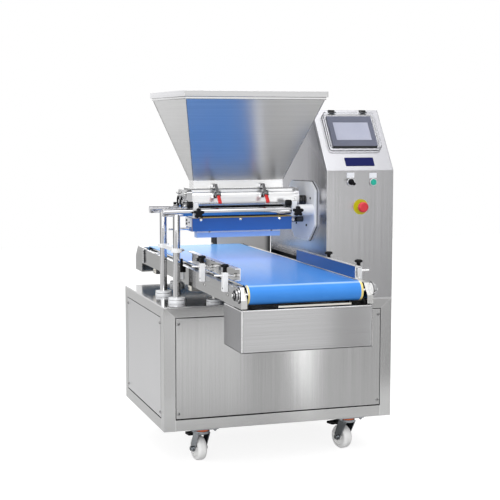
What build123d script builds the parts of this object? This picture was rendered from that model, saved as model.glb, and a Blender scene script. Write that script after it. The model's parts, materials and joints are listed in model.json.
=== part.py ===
from build123d import *
import os
from math import cos, sin, radians

# Cake batter filling machine: a hopper-fed pump head over a belt conveyor, on a cabinet with casters.
# Lengths are millimetres. Pieces are laid out from the cabinet's front left bottom corner,
# X to the right, Y to the back, Z up. On writing they move to the middle of the footprint on the floor.

# Cabinet
cabinet_width = 926
cabinet_depth = 655
cabinet_height = 474
frame_border = 45
frame_rail = 42
sheet = 3
top_sheet = 4
panel_gap = 3
sill_gap = 5
lip_in = 20
lip_out = 15
screw_inset = 12
screw_drop = 24

# Casters
caster_height = 140
caster_side = 163
caster_front = 52
wheel_diameter = 95
wheel_width = 38
caster_trail = 34
caster_turns = {"left": 8, "right": 18}

# Control column
column_width = 278
column_face_height = 500.4
column_height = 733
column_slope_depth = 163.5
column_recess = 30
recess_height = 138
cover_border = 15

# Head supports
bar_diameter = 30
bar_height = 816
bar_front = 131
bar_rear = 337
post_diameter = 28
post_side = 86
foot_disc = 7
foot_groove = 2

# Depositing head
head_center = 234
rotor_pitch = 52
rotor_height = 851
housing_height = 868
rotor_tip = 27.2
rotor_root = 24.2
rotor_teeth = 12
pump_left = 158
pump_right = 583
outlet_count = 6
outlet_pitch = 52
valve_height = 772
hopper_middle = 357
hopper_top_size = (548, 513)
hopper_neck_size = (368, 59)
hopper_neck_top = 933
hopper_rim_bottom = 1250
hopper_rim_height = 25
rim_lift = 3
collar_drop = 6
clamp_sides = (256, 450)

# Conveyor
belt_left = 140.5
belt_right = 551
belt_thickness = 3
roller_radius = 30
nose_axis = -556
tail_axis = 797
roller_height = 589
rail_left = 117
rail_right = 591
rail_bottom = 545
rail_top = 608.6
far_rail_top = 613.4
drip_box_front = -585
drip_box_rear = -384
drip_box_bottom = 400
drip_box_top = 541
drip_box_corner = 6
tail_end = 964
guide_clamps = (-427, -145)
leg_sides = (212, 496)
leg_rows = (50, 605)

# Running clearances
shaft_gap = 0.05
slip = 0.4

# The footprint's middle, measured from the cabinet's corner
belt_front = nose_axis - roller_radius - belt_thickness
middle = (cabinet_width / 2, (belt_front + tail_end) / 2, -caster_height)


def block(x0, x1, y0, y1, z0, z1):
    return Pos((x0 + x1) / 2, (y0 + y1) / 2, (z0 + z1) / 2) * Box(x1 - x0, y1 - y0, z1 - z0)


def rod_x(x0, x1, y, z, radius):
    return Pos((x0 + x1) / 2, y, z) * Rot(0, 90, 0) * Cylinder(radius, x1 - x0)


def rod_y(y0, y1, x, z, radius):
    return Pos(x, (y0 + y1) / 2, z) * Rot(90, 0, 0) * Cylinder(radius, y1 - y0)


def rod_z(z0, z1, x, y, radius):
    return Pos(x, y, (z0 + z1) / 2) * Cylinder(radius, z1 - z0)


def plate_x(points, x0, x1, inset=0):
    # A plate across X with its outline given as Y, Z points, drawn in by the inset
    face = Polygon(*points, align=None)
    if inset:
        face = offset(face, -inset, kind=Kind.INTERSECTION)
    return extrude(Plane.YZ.offset(x0) * face, x1 - x0, dir=(1, 0, 0))


def along_x(shape, radius):
    return fillet(shape.edges().filter_by(Axis.X), radius)


def along_y(shape, radius):
    return fillet(shape.edges().filter_by(Axis.Y), radius)


def along_z(shape, radius):
    return fillet(shape.edges().filter_by(Axis.Z), radius)


def save(node, *shapes):
    solids = [solid for shape in shapes for solid in shape.solids()]
    whole = solids[0] if len(solids) == 1 else Compound(solids)
    export_step(Pos(-middle[0], -middle[1], -middle[2]) * whole, "parts/" + node + ".step")


os.makedirs("parts", exist_ok=True)

# Derived places used by several pieces
frame_top = cabinet_height - top_sheet
window_top = cabinet_height - frame_rail
column_left = cabinet_width - column_width
column_fold = cabinet_height + column_face_height
column_top = cabinet_height + column_height
recess_top = cabinet_height + recess_height
drive_plate_left = column_left - 10
drive_plate_right = column_left
rotor_front = head_center - rotor_pitch / 2
rotor_rear = head_center + rotor_pitch / 2
outlets = [347 + outlet_pitch * (i - (outlet_count - 1) / 2) for i in range(outlet_count)]
belt_top = roller_height + roller_radius + belt_thickness
belt_bottom = roller_height - roller_radius - belt_thickness


# Cabinet
def window_screws(low, high, bottom, top):
    # Corner screw places of a panel, as along and height pairs
    sides = (low + screw_inset, high - screw_inset)
    heights = (bottom + screw_drop, top - screw_drop)
    return [(a, b) for a in sides for b in heights]


def screw_front(x, z, face, turn):
    # Dome-headed screw in a wall across Y; turn is 1 for the front wall and -1 for the rear wall
    head = Pos(x, face, z) * Rot(90 * turn, 0, 0) * Pos(0, 0, 1.5) * Cylinder(4.5, 3)
    shank = Pos(x, face, z) * Rot(90 * turn, 0, 0) * Pos(0, 0, -4.5) * Cylinder(2, 9)
    return head + shank


def screw_side(y, z, face, turn):
    # Dome-headed screw in a wall across X; turn is -1 for the left wall and 1 for the right wall
    head = Pos(face, y, z) * Rot(0, 90 * turn, 0) * Pos(0, 0, 1.5) * Cylinder(4.5, 3)
    shank = Pos(face, y, z) * Rot(0, 90 * turn, 0) * Pos(0, 0, -4.5) * Cylinder(2, 9)
    return head + shank


across = (frame_border, cabinet_width - frame_border)
deep = (frame_border, cabinet_depth - frame_border)
window_rise = (frame_rail, window_top)
rear_window = (column_left + 40, cabinet_width - 40)
rear_rise = (cabinet_height + 180, column_top - 60)

wide_screws = window_screws(*across, *window_rise)
deep_screws = window_screws(*deep, *window_rise)
rear_screws = window_screws(*rear_window, *rear_rise)
plate_screws = [(149, 860), (347, 860), (191, 750), (305, 750)]

screw_set = []
screw_set += [screw_front(a, b, 0, 1) for a, b in wide_screws]
screw_set += [screw_front(a, b, cabinet_depth, -1) for a, b in wide_screws]
screw_set += [screw_side(a, b, 0, -1) for a, b in deep_screws]
screw_set += [screw_side(a, b, cabinet_width, 1) for a, b in deep_screws]
screw_set += [screw_front(a, b, cabinet_depth, -1) for a, b in rear_screws]
plate_screw_set = [screw_side(a, b, drive_plate_left, -1) for a, b in plate_screws]


def wide_wall(span, rise, y0, y1, grow):
    return block(span[0] - grow, span[1] + grow, y0, y1, rise[0] - grow, rise[1] + grow)


def deep_wall(span, rise, x0, x1, grow):
    return block(x0, x1, span[0] - grow, span[1] + grow, rise[0] - grow, rise[1] + grow)


def make_cabinet_frame():
    tub = block(0, cabinet_width, 0, cabinet_depth, 0, frame_top)
    tub -= block(sheet, cabinet_width - sheet, sheet, cabinet_depth - sheet, sheet, frame_top)
    tub -= wide_wall(across, window_rise, 0, cabinet_depth, 0)
    tub -= deep_wall(deep, window_rise, 0, cabinet_width, 0)
    for y0 in (sheet, cabinet_depth - 2 * sheet):
        lip = wide_wall(across, window_rise, y0, y0 + sheet, lip_out)
        tub += lip - wide_wall(across, window_rise, y0, y0 + sheet, -lip_in)
    for x0 in (sheet, cabinet_width - 2 * sheet):
        lip = deep_wall(deep, window_rise, x0, x0 + sheet, lip_out)
        tub += lip - deep_wall(deep, window_rise, x0, x0 + sheet, -lip_in)
    for a, b in wide_screws:
        tub -= rod_y(0, cabinet_depth, a, b, 2 + shaft_gap)
    for a, b in deep_screws:
        tub -= rod_x(0, cabinet_width, a, b, 2 + shaft_gap)
    return tub


def make_service_panels():
    rise = (window_rise[0] + sill_gap - panel_gap, window_rise[1])
    front = wide_wall(across, rise, 0, sheet, -panel_gap)
    rear = wide_wall(across, rise, cabinet_depth - sheet, cabinet_depth, -panel_gap)
    left = deep_wall(deep, rise, 0, sheet, -panel_gap)
    right = deep_wall(deep, rise, cabinet_width - sheet, cabinet_width, -panel_gap)
    column_rear = wide_wall(rear_window, rear_rise, cabinet_depth - sheet, cabinet_depth, -panel_gap)
    for a, b in wide_screws:
        front -= rod_y(0, sheet, a, b, 2 + shaft_gap)
        rear -= rod_y(cabinet_depth - sheet, cabinet_depth, a, b, 2 + shaft_gap)
    for a, b in deep_screws:
        left -= rod_x(0, sheet, a, b, 2 + shaft_gap)
        right -= rod_x(cabinet_width - sheet, cabinet_width, a, b, 2 + shaft_gap)
    for a, b in rear_screws:
        column_rear -= rod_y(cabinet_depth - sheet, cabinet_depth, a, b, 2 + shaft_gap)
    return [front, rear, left, right, column_rear]


cabinet_top = block(0, cabinet_width, 0, cabinet_depth, frame_top, cabinet_height)
cabinet_top -= block(column_left + 60, cabinet_width - 40, 200, 450, frame_top, cabinet_height)

save("cabinet_frame", make_cabinet_frame())
save("cabinet_top", cabinet_top)
save("service_panels", *make_service_panels())
save("panel_screws", *screw_set, *plate_screw_set)

# Control column
column_outline = [
    (0, cabinet_height),
    (0, column_fold),
    (column_slope_depth, column_top),
    (cabinet_depth, column_top),
    (cabinet_depth, cabinet_height),
]
cover_outline = [(0, recess_top)] + column_outline[1:4] + [(cabinet_depth, recess_top)]
slope_length = ((column_top - column_fold) ** 2 + column_slope_depth ** 2) ** 0.5
slope_out = (0, -(column_top - column_fold) / slope_length, column_slope_depth / slope_length)
slope = Plane(origin=(0, 0, column_fold), x_dir=(1, 0, 0), z_dir=slope_out)


def slope_block(x0, x1, s0, s1, n0, n1):
    # A block on the sloping face: X across, s up the slope from the fold, n out of the face
    return slope.location * block(x0, x1, s0, s1, n0, n1)


def slope_rod(x0, x1, s, n, radius):
    return slope.location * rod_x(x0, x1, s, n, radius)


selector_at = (746, 930)
start_at = (840, 928)
stop_at = (789, 833)
switch_places = (selector_at, start_at, stop_at)
barrel_radius = 11
stem_radius = 8
selector_rest = 45
screen_across = (697, 885)
screen_rise = (108, 249)
glass_across = (718, 866)
glass_rise = (137, 220)
lid_across = (679, 897)
lid_rise = (90, 262)
lid_depth = 17
hinge_rise = 268
hinge_out = 6
hinge_middles = (727, 860)
gland_at = (860, 560)


def make_column_shell():
    shell = plate_x(column_outline, column_left, cabinet_width)
    shell -= block(column_left, column_left + column_recess, sheet, cabinet_depth, cabinet_height, recess_top)
    inside = plate_x(column_outline, column_left + sheet, cabinet_width - sheet, sheet)
    inside += block(column_left + sheet, cabinet_width - sheet, sheet, cabinet_depth - sheet,
                    cabinet_height, cabinet_height + 2 * sheet)
    inside -= block(column_left, column_left + column_recess + sheet, 0, cabinet_depth,
                    cabinet_height, recess_top + sheet)
    shell -= inside
    shell -= plate_x(cover_outline, column_left, column_left + sheet, cover_border)
    lip = plate_x(cover_outline, column_left + sheet, column_left + 2 * sheet, sheet)
    lip -= plate_x(cover_outline, column_left + sheet, column_left + 2 * sheet, cover_border + lip_out)
    shell += lip
    shell -= wide_wall(rear_window, rear_rise, cabinet_depth - sheet, cabinet_depth, 0)
    frame_in = cabinet_depth - 2 * sheet
    lip = wide_wall(rear_window, rear_rise, frame_in, frame_in + sheet, lip_out)
    shell += lip - wide_wall(rear_window, rear_rise, frame_in, frame_in + sheet, -lip_in)
    for a, b in rear_screws:
        shell -= rod_y(frame_in, cabinet_depth, a, b, 2 + shaft_gap)
    for x, z in switch_places:
        shell -= rod_y(0, sheet, x, z, barrel_radius + shaft_gap)
    shell -= slope_block(screen_across[0] + 10, screen_across[1] - 10, screen_rise[0] + 11, screen_rise[1] - 11,
                         -sheet - 2, 2)
    shell -= rod_y(cabinet_depth - sheet, cabinet_depth, gland_at[0], gland_at[1], 10 + shaft_gap)
    return shell


side_cover = plate_x(cover_outline, column_left, column_left + sheet, cover_border + panel_gap)
side_cover -= rod_x(column_left, column_left + sheet, rotor_front, rotor_height, 12)
for a, b in plate_screws:
    side_cover -= rod_x(column_left, column_left + sheet, a, b, 2 + shaft_gap)

screen_housing = slope_block(*screen_across, *screen_rise, 0, 8)
screen_housing += slope_block(screen_across[0] + 11, screen_across[1] - 11, screen_rise[0] + 12,
                              screen_rise[1] - 12, -43, 0)
screen_housing -= slope_block(glass_across[0] - slip, glass_across[1] + slip, glass_rise[0] - slip,
                              glass_rise[1] + slip, 5, 8)
screen_glass = slope_block(*glass_across, *glass_rise, 5, 7.5)


def make_screen_cover():
    lid = along_z(block(*lid_across, *lid_rise, 1, lid_depth), 14)
    room = along_z(block(lid_across[0] + sheet, lid_across[1] - sheet, lid_rise[0] + sheet, lid_rise[1] - sheet,
                         1, lid_depth - sheet), 11)
    lid -= room
    for middle_x in hinge_middles:
        for x0 in (middle_x - 16, middle_x + 8.5):
            knuckle = block(x0, x0 + 7.5, lid_rise[1] - sheet, hinge_rise, hinge_out - 3, hinge_out + 3)
            knuckle += rod_x(x0, x0 + 7.5, hinge_rise, hinge_out, 4.5)
            lid += knuckle - rod_x(x0, x0 + 7.5, hinge_rise, hinge_out, 2 + shaft_gap)
    return slope.location * lid


def hinge_leaf(middle_x):
    leaf = block(middle_x - 14, middle_x + 14, hinge_rise + 3, hinge_rise + 15, 0, 2)
    leaf += block(middle_x - 8, middle_x + 8, hinge_rise - 1, hinge_rise + 5, 0, hinge_out)
    leaf += rod_x(middle_x - 8, middle_x + 8, hinge_rise, hinge_out, 4.5)
    leaf += rod_x(middle_x - 16, middle_x + 16, hinge_rise, hinge_out, 2)
    return slope.location * leaf


def switch_bezel(x, z):
    bezel = rod_y(-6, 0, x, z, 15) - rod_y(-6, -1, x, z, 12)
    bezel += rod_y(0, 30, x, z, barrel_radius)
    return bezel - rod_y(-1, 30, x, z, stem_radius + shaft_gap)


def stop_collar(x, z):
    collar = rod_y(-12, -2, x, z, 15) + rod_y(-2, 30, x, z, barrel_radius)
    return collar - rod_y(-12, 30, x, z, stem_radius + shaft_gap)


def cable_gland(x, z):
    gland = rod_y(cabinet_depth, cabinet_depth + 8, x, z, 15)
    gland += rod_y(cabinet_depth + 8, cabinet_depth + 22, x, z, 12)
    gland += rod_y(cabinet_depth - 12, cabinet_depth, x, z, 10)
    return gland - rod_y(cabinet_depth - 12, cabinet_depth + 22, x, z, 5)


stop_plate = rod_y(-2, 0, *stop_at, 30) - rod_y(-2, 0, *stop_at, barrel_radius + slip)
name_plate = slope.location * along_z(block(732, 852, 20, 58, 0, 1.5), 3)
legend_plates = [along_y(block(x - 15, x + 15, -1.5, 0, z + 16, z + 36), 2) for x, z in (selector_at, start_at)]

selector_knob = rod_y(-12, -5, *selector_at, 11.5) + rod_y(-5, 26, *selector_at, stem_radius)
selector_bar = along_y(block(-4, 4, -26, -12, -11, 11), 3)
selector_knob += Pos(selector_at[0], 0, selector_at[1]) * Rot(0, -selector_rest, 0) * selector_bar
start_button = rod_y(-10, -5, *start_at, 11.5) + rod_y(-5, 26, *start_at, stem_radius)
stop_cap = rod_y(-36, -20, *stop_at, 20)
stop_cap = fillet(stop_cap.edges().group_by(Axis.Y)[0], 7)
stop_button = stop_cap + rod_y(-20, 22, *stop_at, stem_radius)

save("column_shell", make_column_shell())
save("column_side_cover", side_cover)
save("screen_housing", screen_housing)
save("screen_glass", screen_glass)
save("screen_cover", make_screen_cover())
save("panel_hardware", *[hinge_leaf(m) for m in hinge_middles], switch_bezel(*selector_at),
     switch_bezel(*start_at), stop_collar(*stop_at), cable_gland(*gland_at))
save("label_plates", name_plate, stop_plate, *legend_plates)
save("selector_knob", selector_knob)
save("start_button", start_button)
save("estop_button", stop_button)

# Drive plate, motor and coupling on the column's left side
drive_outline = [(154, 926), (372, 920), (395, 900), (395, 746), (333, 691), (172, 690), (103, 753), (103, 895)]
boss_left = drive_plate_left - 60
bar_radius = bar_diameter / 2
bar_ends = (30, drive_plate_left - 1)
shaft_radius = 9
motor_left = column_left + sheet


def make_drive_plate():
    plate = along_x(plate_x(drive_outline, drive_plate_left, drive_plate_right), 14)
    for y in (bar_front, bar_rear):
        plate += rod_x(boss_left, drive_plate_left, y, bar_height, 21.5)
        plate -= rod_x(boss_left, bar_ends[1], y, bar_height, bar_radius + shaft_gap)
    plate -= rod_x(drive_plate_left, drive_plate_right, rotor_front, rotor_height, shaft_radius + 1)
    for a, b in plate_screws:
        plate -= rod_x(drive_plate_left, drive_plate_right, a, b, 2 + shaft_gap)
    return plate


def make_pump_motor():
    motor = block(motor_left, motor_left + 74, rotor_front - 65, rotor_front + 65, rotor_height - 65,
                  rotor_height + 65)
    motor += rod_x(motor_left + 74, cabinet_width - 30, rotor_front, rotor_height, 62)
    for i in range(8):
        x0 = motor_left + 88 + 18 * i
        motor += rod_x(x0, x0 + 6, rotor_front, rotor_height, 68)
    motor -= rod_x(motor_left, motor_left + 50, rotor_front, rotor_height, shaft_radius + shaft_gap)
    for a, b in plate_screws:
        motor -= rod_x(motor_left, motor_left + 4, a, b, 3)
    return motor


def make_coupling():
    left = pump_right + 17.5
    right = drive_plate_left - 0.5
    coupling = rod_x(left, right, rotor_front, rotor_height, 16.2)
    for i in range(4):
        x0 = left + 1 + 9.5 * i
        coupling += rod_x(x0, x0 + 6.5, rotor_front, rotor_height, 18.7)
    coupling += rod_x(right, motor_left + 48, rotor_front, rotor_height, shaft_radius)
    return coupling - rod_x(left, left + 20, rotor_front, rotor_height, stem_radius + shaft_gap)


save("drive_plate", make_drive_plate())
save("pump_motor", make_pump_motor())
save("drive_coupling", make_coupling())

# Bars on posts, with white feet and a tie plate
post_radius = post_diameter / 2


def support(y):
    bar = rod_x(*bar_ends, y, bar_height, bar_radius)
    bar = fillet(bar.edges().group_by(Axis.X)[0], 4)
    return bar + rod_z(cabinet_height, bar_height, post_side, y, post_radius)


def foot(x, y, radius, bore):
    lower = cabinet_height + foot_disc
    upper = lower + foot_groove
    base = rod_z(cabinet_height, lower, x, y, radius)
    base += rod_z(lower, upper, x, y, radius - 3)
    base += rod_z(upper, upper + foot_disc, x, y, radius - 1)
    return base - rod_z(cabinet_height, upper + foot_disc, x, y, bore + shaft_gap)


def make_tie_plate():
    bottom, top = 664, 679
    tie = block(post_side - 8, post_side + 8, bar_front, bar_rear, bottom, top)
    for y in (bar_front, bar_rear):
        tie += rod_z(bottom, top, post_side, y, 22)
    tie += rod_x(post_side + 18, post_side + 30, bar_front, (bottom + top) / 2, 4)
    for y in (bar_front, bar_rear):
        tie -= rod_z(bottom, top, post_side, y, post_radius + shaft_gap)
    return tie


leg_radius = 12
post_feet = [foot(post_side, y, 33, post_radius) for y in (bar_front, bar_rear)]
leg_feet = [foot(x, y, 31, leg_radius) for x in leg_sides for y in leg_rows]
save("head_supports", support(bar_front), support(bar_rear))
save("post_fittings", *post_feet, *leg_feet, make_tie_plate())

# Depositing head
pump_radius = 30
pump_top = housing_height + pump_radius
flange_top = pump_top + 5
manifold_box = (152, 560, 150, 232, 740, 795)
manifold_step = (199, 290)
manifold_top = manifold_box[5]
nozzle_box = (176, 517, 165, 254, 714, 740)
cover_left = 138
cap_left = 127
cap_dish = 8
pedestal_half = 21
pedestal_right = 547
clamp_pivot = (154, 890.5)
clamp_turn = 42
hook_throw = 9
grip_start = 19
grip_end = 57
catch_at = (188, 912)


def frame_between(size, wall, z0, z1):
    place = Pos(hopper_middle, head_center, (z0 + z1) / 2)
    outer = place * Box(size[0], size[1], z1 - z0)
    return outer - place * Box(size[0] - 2 * wall, size[1] - 2 * wall, z1 - z0)


def hopper_form(shrink):
    low = Pos(hopper_middle, head_center, hopper_neck_top)
    high = Pos(hopper_middle, head_center, hopper_rim_bottom)
    low_face = low * Rectangle(hopper_neck_size[0] - shrink, hopper_neck_size[1] - shrink)
    high_face = high * Rectangle(hopper_top_size[0] - shrink, hopper_top_size[1] - shrink)
    return loft([low_face, high_face], ruled=True)


def make_hopper():
    hopper = hopper_form(0) - hopper_form(2 * sheet)
    hopper += frame_between(hopper_neck_size, sheet, flange_top, hopper_neck_top)
    rim_bottom = hopper_rim_bottom + rim_lift
    rim_size = [side + 16 for side in hopper_top_size]
    collar_size = [side + 4 for side in hopper_top_size]
    hopper += frame_between(rim_size, sheet + 8, rim_bottom, hopper_rim_bottom + hopper_rim_height)
    hopper += frame_between(collar_size, sheet + 2, hopper_rim_bottom - collar_drop, rim_bottom)
    flange = block(pump_left - 1, 575, 183, 285, pump_top, flange_top)
    flange -= Pos(hopper_middle, head_center, pump_top) * Box(hopper_neck_size[0] - 2 * sheet,
                                                             hopper_neck_size[1] - 2 * sheet, 20)
    return hopper + flange


def stadium(x0, x1, radius):
    # Round corners about the rotors' axes below and the housing's height above
    body = block(x0, x1, rotor_front, rotor_rear, rotor_height - radius, housing_height + radius)
    body += block(x0, x1, rotor_front - radius, rotor_rear + radius, rotor_height, housing_height)
    for y in (rotor_front, rotor_rear):
        body += rod_x(x0, x1, y, rotor_height, radius) + rod_x(x0, x1, y, housing_height, radius)
    return body


def make_pump_body():
    body = stadium(pump_left, pump_right, pump_radius) + stadium(pump_right, pump_right + 17, pump_radius + 4)
    body += block(pump_left, 575, 183, 285, pump_top - 10, pump_top)
    body += block(manifold_step[0], pedestal_right, head_center - pedestal_half, head_center + pedestal_half,
                  manifold_top, rotor_height - 28)
    for x in clamp_sides:
        body += block(x - 14, x + 14, 166, 200, 866, 884)
    for y in (rotor_front, rotor_rear):
        body -= rod_x(pump_left, pump_right, y, rotor_height, rotor_tip + slip)
    body -= rod_x(pump_right, pump_right + 17, rotor_front, rotor_height, stem_radius + shaft_gap)
    body -= rod_x(pump_right, pump_right + 11, rotor_rear, rotor_height, stem_radius + shaft_gap)
    inlet_half = hopper_neck_size[1] / 2 - sheet
    body -= block(hopper_middle - 181, hopper_middle + 181, head_center - inlet_half, head_center + inlet_half,
                  rotor_height, pump_top)
    for x in outlets:
        body -= rod_z(manifold_top, rotor_height, x, head_center, 8)
    return body


def make_end_cover():
    cover = along_x(block(cover_left, pump_left, 166, 302, rotor_height - 28, pump_top), 16)
    for y in (rotor_front, rotor_rear):
        cover += rod_x(cap_left, cover_left, y, rotor_height, 23)
        cover -= rod_x(cap_left, cap_left + cap_dish, y, rotor_height, 17)
        cover += rod_x(cap_left + 2, cap_left + cap_dish, y, rotor_height, 8)
        cover -= rod_x(cover_left + 4, pump_left, y, rotor_height, stem_radius + shaft_gap)
    return cover


def make_rotor(y, start, right_end):
    points = []
    for i in range(rotor_teeth):
        turn = start + 360 / rotor_teeth * i
        for side, radius in ((-7.5, rotor_root), (-4.5, rotor_tip), (4.5, rotor_tip), (7.5, rotor_root)):
            angle = radians(turn + side)
            points.append((y + radius * cos(angle), rotor_height + radius * sin(angle)))
    rotor = plate_x(points, pump_left + 2, pump_right - 2)
    rotor += rod_x(cover_left + 6, pump_left + 2, y, rotor_height, stem_radius)
    return rotor + rod_x(pump_right - 2, right_end, y, rotor_height, stem_radius)


valve_radius = 12
guide_rod_at = (180, 749)
guide_rod_radius = 4.5
valve_left = manifold_step[0] + 4
manifold = block(*manifold_box)
manifold += block(manifold_step[0], manifold_box[1], manifold_box[3], manifold_step[1], *manifold_box[4:])
manifold -= rod_x(valve_left, manifold_box[1], head_center, valve_height, valve_radius + shaft_gap)
manifold -= rod_x(manifold_box[0], manifold_box[0] + 14, *guide_rod_at, guide_rod_radius + shaft_gap)
for x in outlets:
    manifold -= rod_z(manifold_box[4], manifold_top, x, head_center, 8)
dome_places = [(188, 784), (348, 784), (507, 784)]
for x, z in dome_places:
    manifold -= rod_y(manifold_box[2], manifold_box[2] + 14, x, z, 3 + shaft_gap)

valve_rod = rod_x(valve_left + 1, manifold_box[1] + 6, head_center, valve_height, valve_radius)
for x in outlets:
    valve_rod -= rod_z(valve_height - 15, valve_height + 15, x, head_center, 8)
valve_rod += rod_x(manifold_box[1] + 6, manifold_box[1] + 50, head_center, valve_height, 7)
valve_rod += rod_x(manifold_box[1] + 50, drive_plate_left - 1, head_center, valve_height, 11)

nozzle_seat = nozzle_box[5] - 7
nozzle_bar_rear = nozzle_box[2] + 36
nozzle_plate = block(*nozzle_box[:3], nozzle_bar_rear, nozzle_seat, nozzle_box[5])
nozzle_plate += block(*nozzle_box[:2], nozzle_box[2] + 1, nozzle_bar_rear, nozzle_box[4], nozzle_seat)
nozzle_plate += block(outlets[0] - 12, outlets[-1] + 12, nozzle_bar_rear, *nozzle_box[3:])
for x in outlets:
    nozzle_plate -= rod_z(nozzle_box[4], nozzle_box[5], x, head_center, 8)
seat_middle = (nozzle_seat + nozzle_box[5]) / 2
thumb_places = [(226, seat_middle), (479, seat_middle)]
for x, z in thumb_places:
    nozzle_plate -= rod_y(nozzle_box[2], nozzle_box[2] + 14, x, z, 2 + shaft_gap)

save("hopper", make_hopper())
save("pump_body", make_pump_body())
save("end_cover", make_end_cover())
save("front_rotor", make_rotor(rotor_front, 0, pump_right + 35))
save("rear_rotor", make_rotor(rotor_rear, 180 / rotor_teeth, pump_right + 9))
save("manifold", manifold)
save("valve_rod", valve_rod)
save("nozzle_plate", nozzle_plate)


# Toggle clamps: base and catch on the head, lever on the base, hook on the lever
def clamp_base(x):
    base = block(x - 13, x + 13, 163, 166, 866, 884)
    for side in (-1, 1):
        ear_left = x + side * 11.75 - 1.25
        ear = block(ear_left, ear_left + 2.5, clamp_pivot[0], 166, 878, clamp_pivot[1])
        ear += rod_x(ear_left, ear_left + 2.5, *clamp_pivot, 6)
        base += ear
        base += rod_x(x + side * 10 - 3, x + side * 10 + 3, *clamp_pivot, 2.5)
    return base


def clamp_catch(x):
    catch = rod_x(x - 12, x + 12, *catch_at, 4)
    collar_face = head_center - hopper_neck_size[1] / 2
    for side in (-1, 1):
        catch += block(x + side * 10.5 - 1.5, x + side * 10.5 + 1.5, catch_at[0] - 4, collar_face, 906, 918)
    return catch


def dome_screw(x, y, z):
    head = rod_y(y - 6, y, x, z, 7)
    head = fillet(head.edges().group_by(Axis.Y)[0], 4)
    return head + rod_y(y, y + 12, x, z, 3)


def thumb_screw(x, y, z):
    return rod_y(y - 5, y, x, z, 3.2) + rod_y(y, y + 12, x, z, 2)


def make_head_hardware():
    pieces = [clamp_base(x) for x in clamp_sides] + [clamp_catch(x) for x in clamp_sides]
    pieces += [dome_screw(x, manifold_box[2], z) for x, z in dome_places]
    pieces += [thumb_screw(x, nozzle_box[2], z) for x, z in thumb_places]
    end_plate = block(146, manifold_box[0], manifold_box[2] + 2, manifold_box[3] - 8, 757, 792)
    for y, z, radius in ((200, 781, 4.5), (200, 768, 4.5), (163, 774.5, 3)):
        end_plate += rod_x(143, 146, y, z, radius)
    pieces.append(end_plate)
    guide_rod = rod_x(67, manifold_box[0] + 12, *guide_rod_at, guide_rod_radius)
    pieces.append(guide_rod + rod_x(145, manifold_box[0], *guide_rod_at, 6.5))
    pieces += [rod_x(cover_left - 6, cover_left, y, z, 5) for y in (180, 288) for z in (838, 884)]
    return pieces


def lever_line(x, start, end, half_width, half_thick):
    # A bar along the lever, from start to end beyond the pivot, at the lever's resting slant
    bar = Box(2 * half_width, 2 * half_thick, end - start)
    return Pos(x, *clamp_pivot) * Rot(-clamp_turn, 0, 0) * Pos(0, 0, -(start + end) / 2) * bar


def make_lever(x):
    pin_turn = radians(clamp_turn)
    pin_at = (clamp_pivot[0] - hook_throw * sin(pin_turn), clamp_pivot[1] - hook_throw * cos(pin_turn))
    lever = rod_x(x - 10, x + 10, *pin_at, 2)
    for side in (-1, 1):
        cheek_x = x + side * 8.75
        cheek = lever_line(cheek_x, 0, grip_start, 1.25, 5)
        cheek += rod_x(cheek_x - 1.25, cheek_x + 1.25, *clamp_pivot, 6)
        lever += cheek - rod_x(cheek_x - 2, cheek_x + 2, *clamp_pivot, 2.5 + shaft_gap)
    lever += lever_line(x, 15, grip_start, 10, 5)
    tongue = lever_line(x, grip_start, grip_end - 12, 4, 2)
    grip = fillet(lever_line(x, grip_start, grip_end, 7, 5.5).edges(), 4.5)
    return [lever + tongue, grip - tongue]


def make_hook(x):
    pin_turn = radians(clamp_turn)
    pin_at = (clamp_pivot[0] - hook_throw * sin(pin_turn), clamp_pivot[1] - hook_throw * cos(pin_turn))
    claw_at = (catch_at[0] - 8, catch_at[1] + 6.3)
    rise = (claw_at[0] - pin_at[0], claw_at[1] - pin_at[1])
    length = (rise[0] ** 2 + rise[1] ** 2) ** 0.5
    out = (rise[1] / length * 2, -rise[0] / length * 2)
    link = plate_x([(pin_at[0] + out[0], pin_at[1] + out[1]), (claw_at[0] + out[0], claw_at[1] + out[1]),
                    (claw_at[0] - out[0], claw_at[1] - out[1]), (pin_at[0] - out[0], pin_at[1] - out[1])],
                   x - 6, x + 6)
    hook = link + rod_x(x - 6, x + 6, *pin_at, 4.5) + rod_x(x - 6, x + 6, *claw_at, 2)
    hook += block(x - 6, x + 6, claw_at[0], catch_at[0] + 9.5, catch_at[1] + 4.3, catch_at[1] + 8.3)
    hook += block(x - 6, x + 6, catch_at[0] + 6.5, catch_at[0] + 9.5, catch_at[1], catch_at[1] + 8.3)
    return hook - rod_x(x - 6, x + 6, *pin_at, 2 + shaft_gap)


save("head_hardware", *make_head_hardware())
for node, x in zip(("left", "right"), clamp_sides):
    save(node + "_lever", *make_lever(x))
    save(node + "_hook", make_hook(x))

# Slide blocks that carry the head on the bars, each front one locked by a star knob
block_sides = (149, 549)
block_front = bar_front - 19
star_places = (164, 566)
star_height = bar_height - 2
knob_lobes = 5
slide_reach = 33
yoke = (20, 12)


def slide_block(x, y, toward):
    # The block round one bar, reaching over the manifold; toward is 1 at the front bar and -1 at the rear
    far = y + toward * slide_reach
    near = y - toward * 19
    low, high = min(far, near), max(far, near)
    body = block(x, x + 24, low, high, manifold_top, bar_height + 17)
    cap_low, cap_high = sorted((near, y + toward * 14))
    body += block(x, x + 19, cap_low, cap_high, bar_height, bar_height + 35)
    return body - rod_x(x, x + 24, y, bar_height, bar_radius + 0.1)


def bumper(x, y, radius):
    return rod_x(x - 20, x, y, bar_height + bar_radius + 1 + radius, radius)


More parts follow.
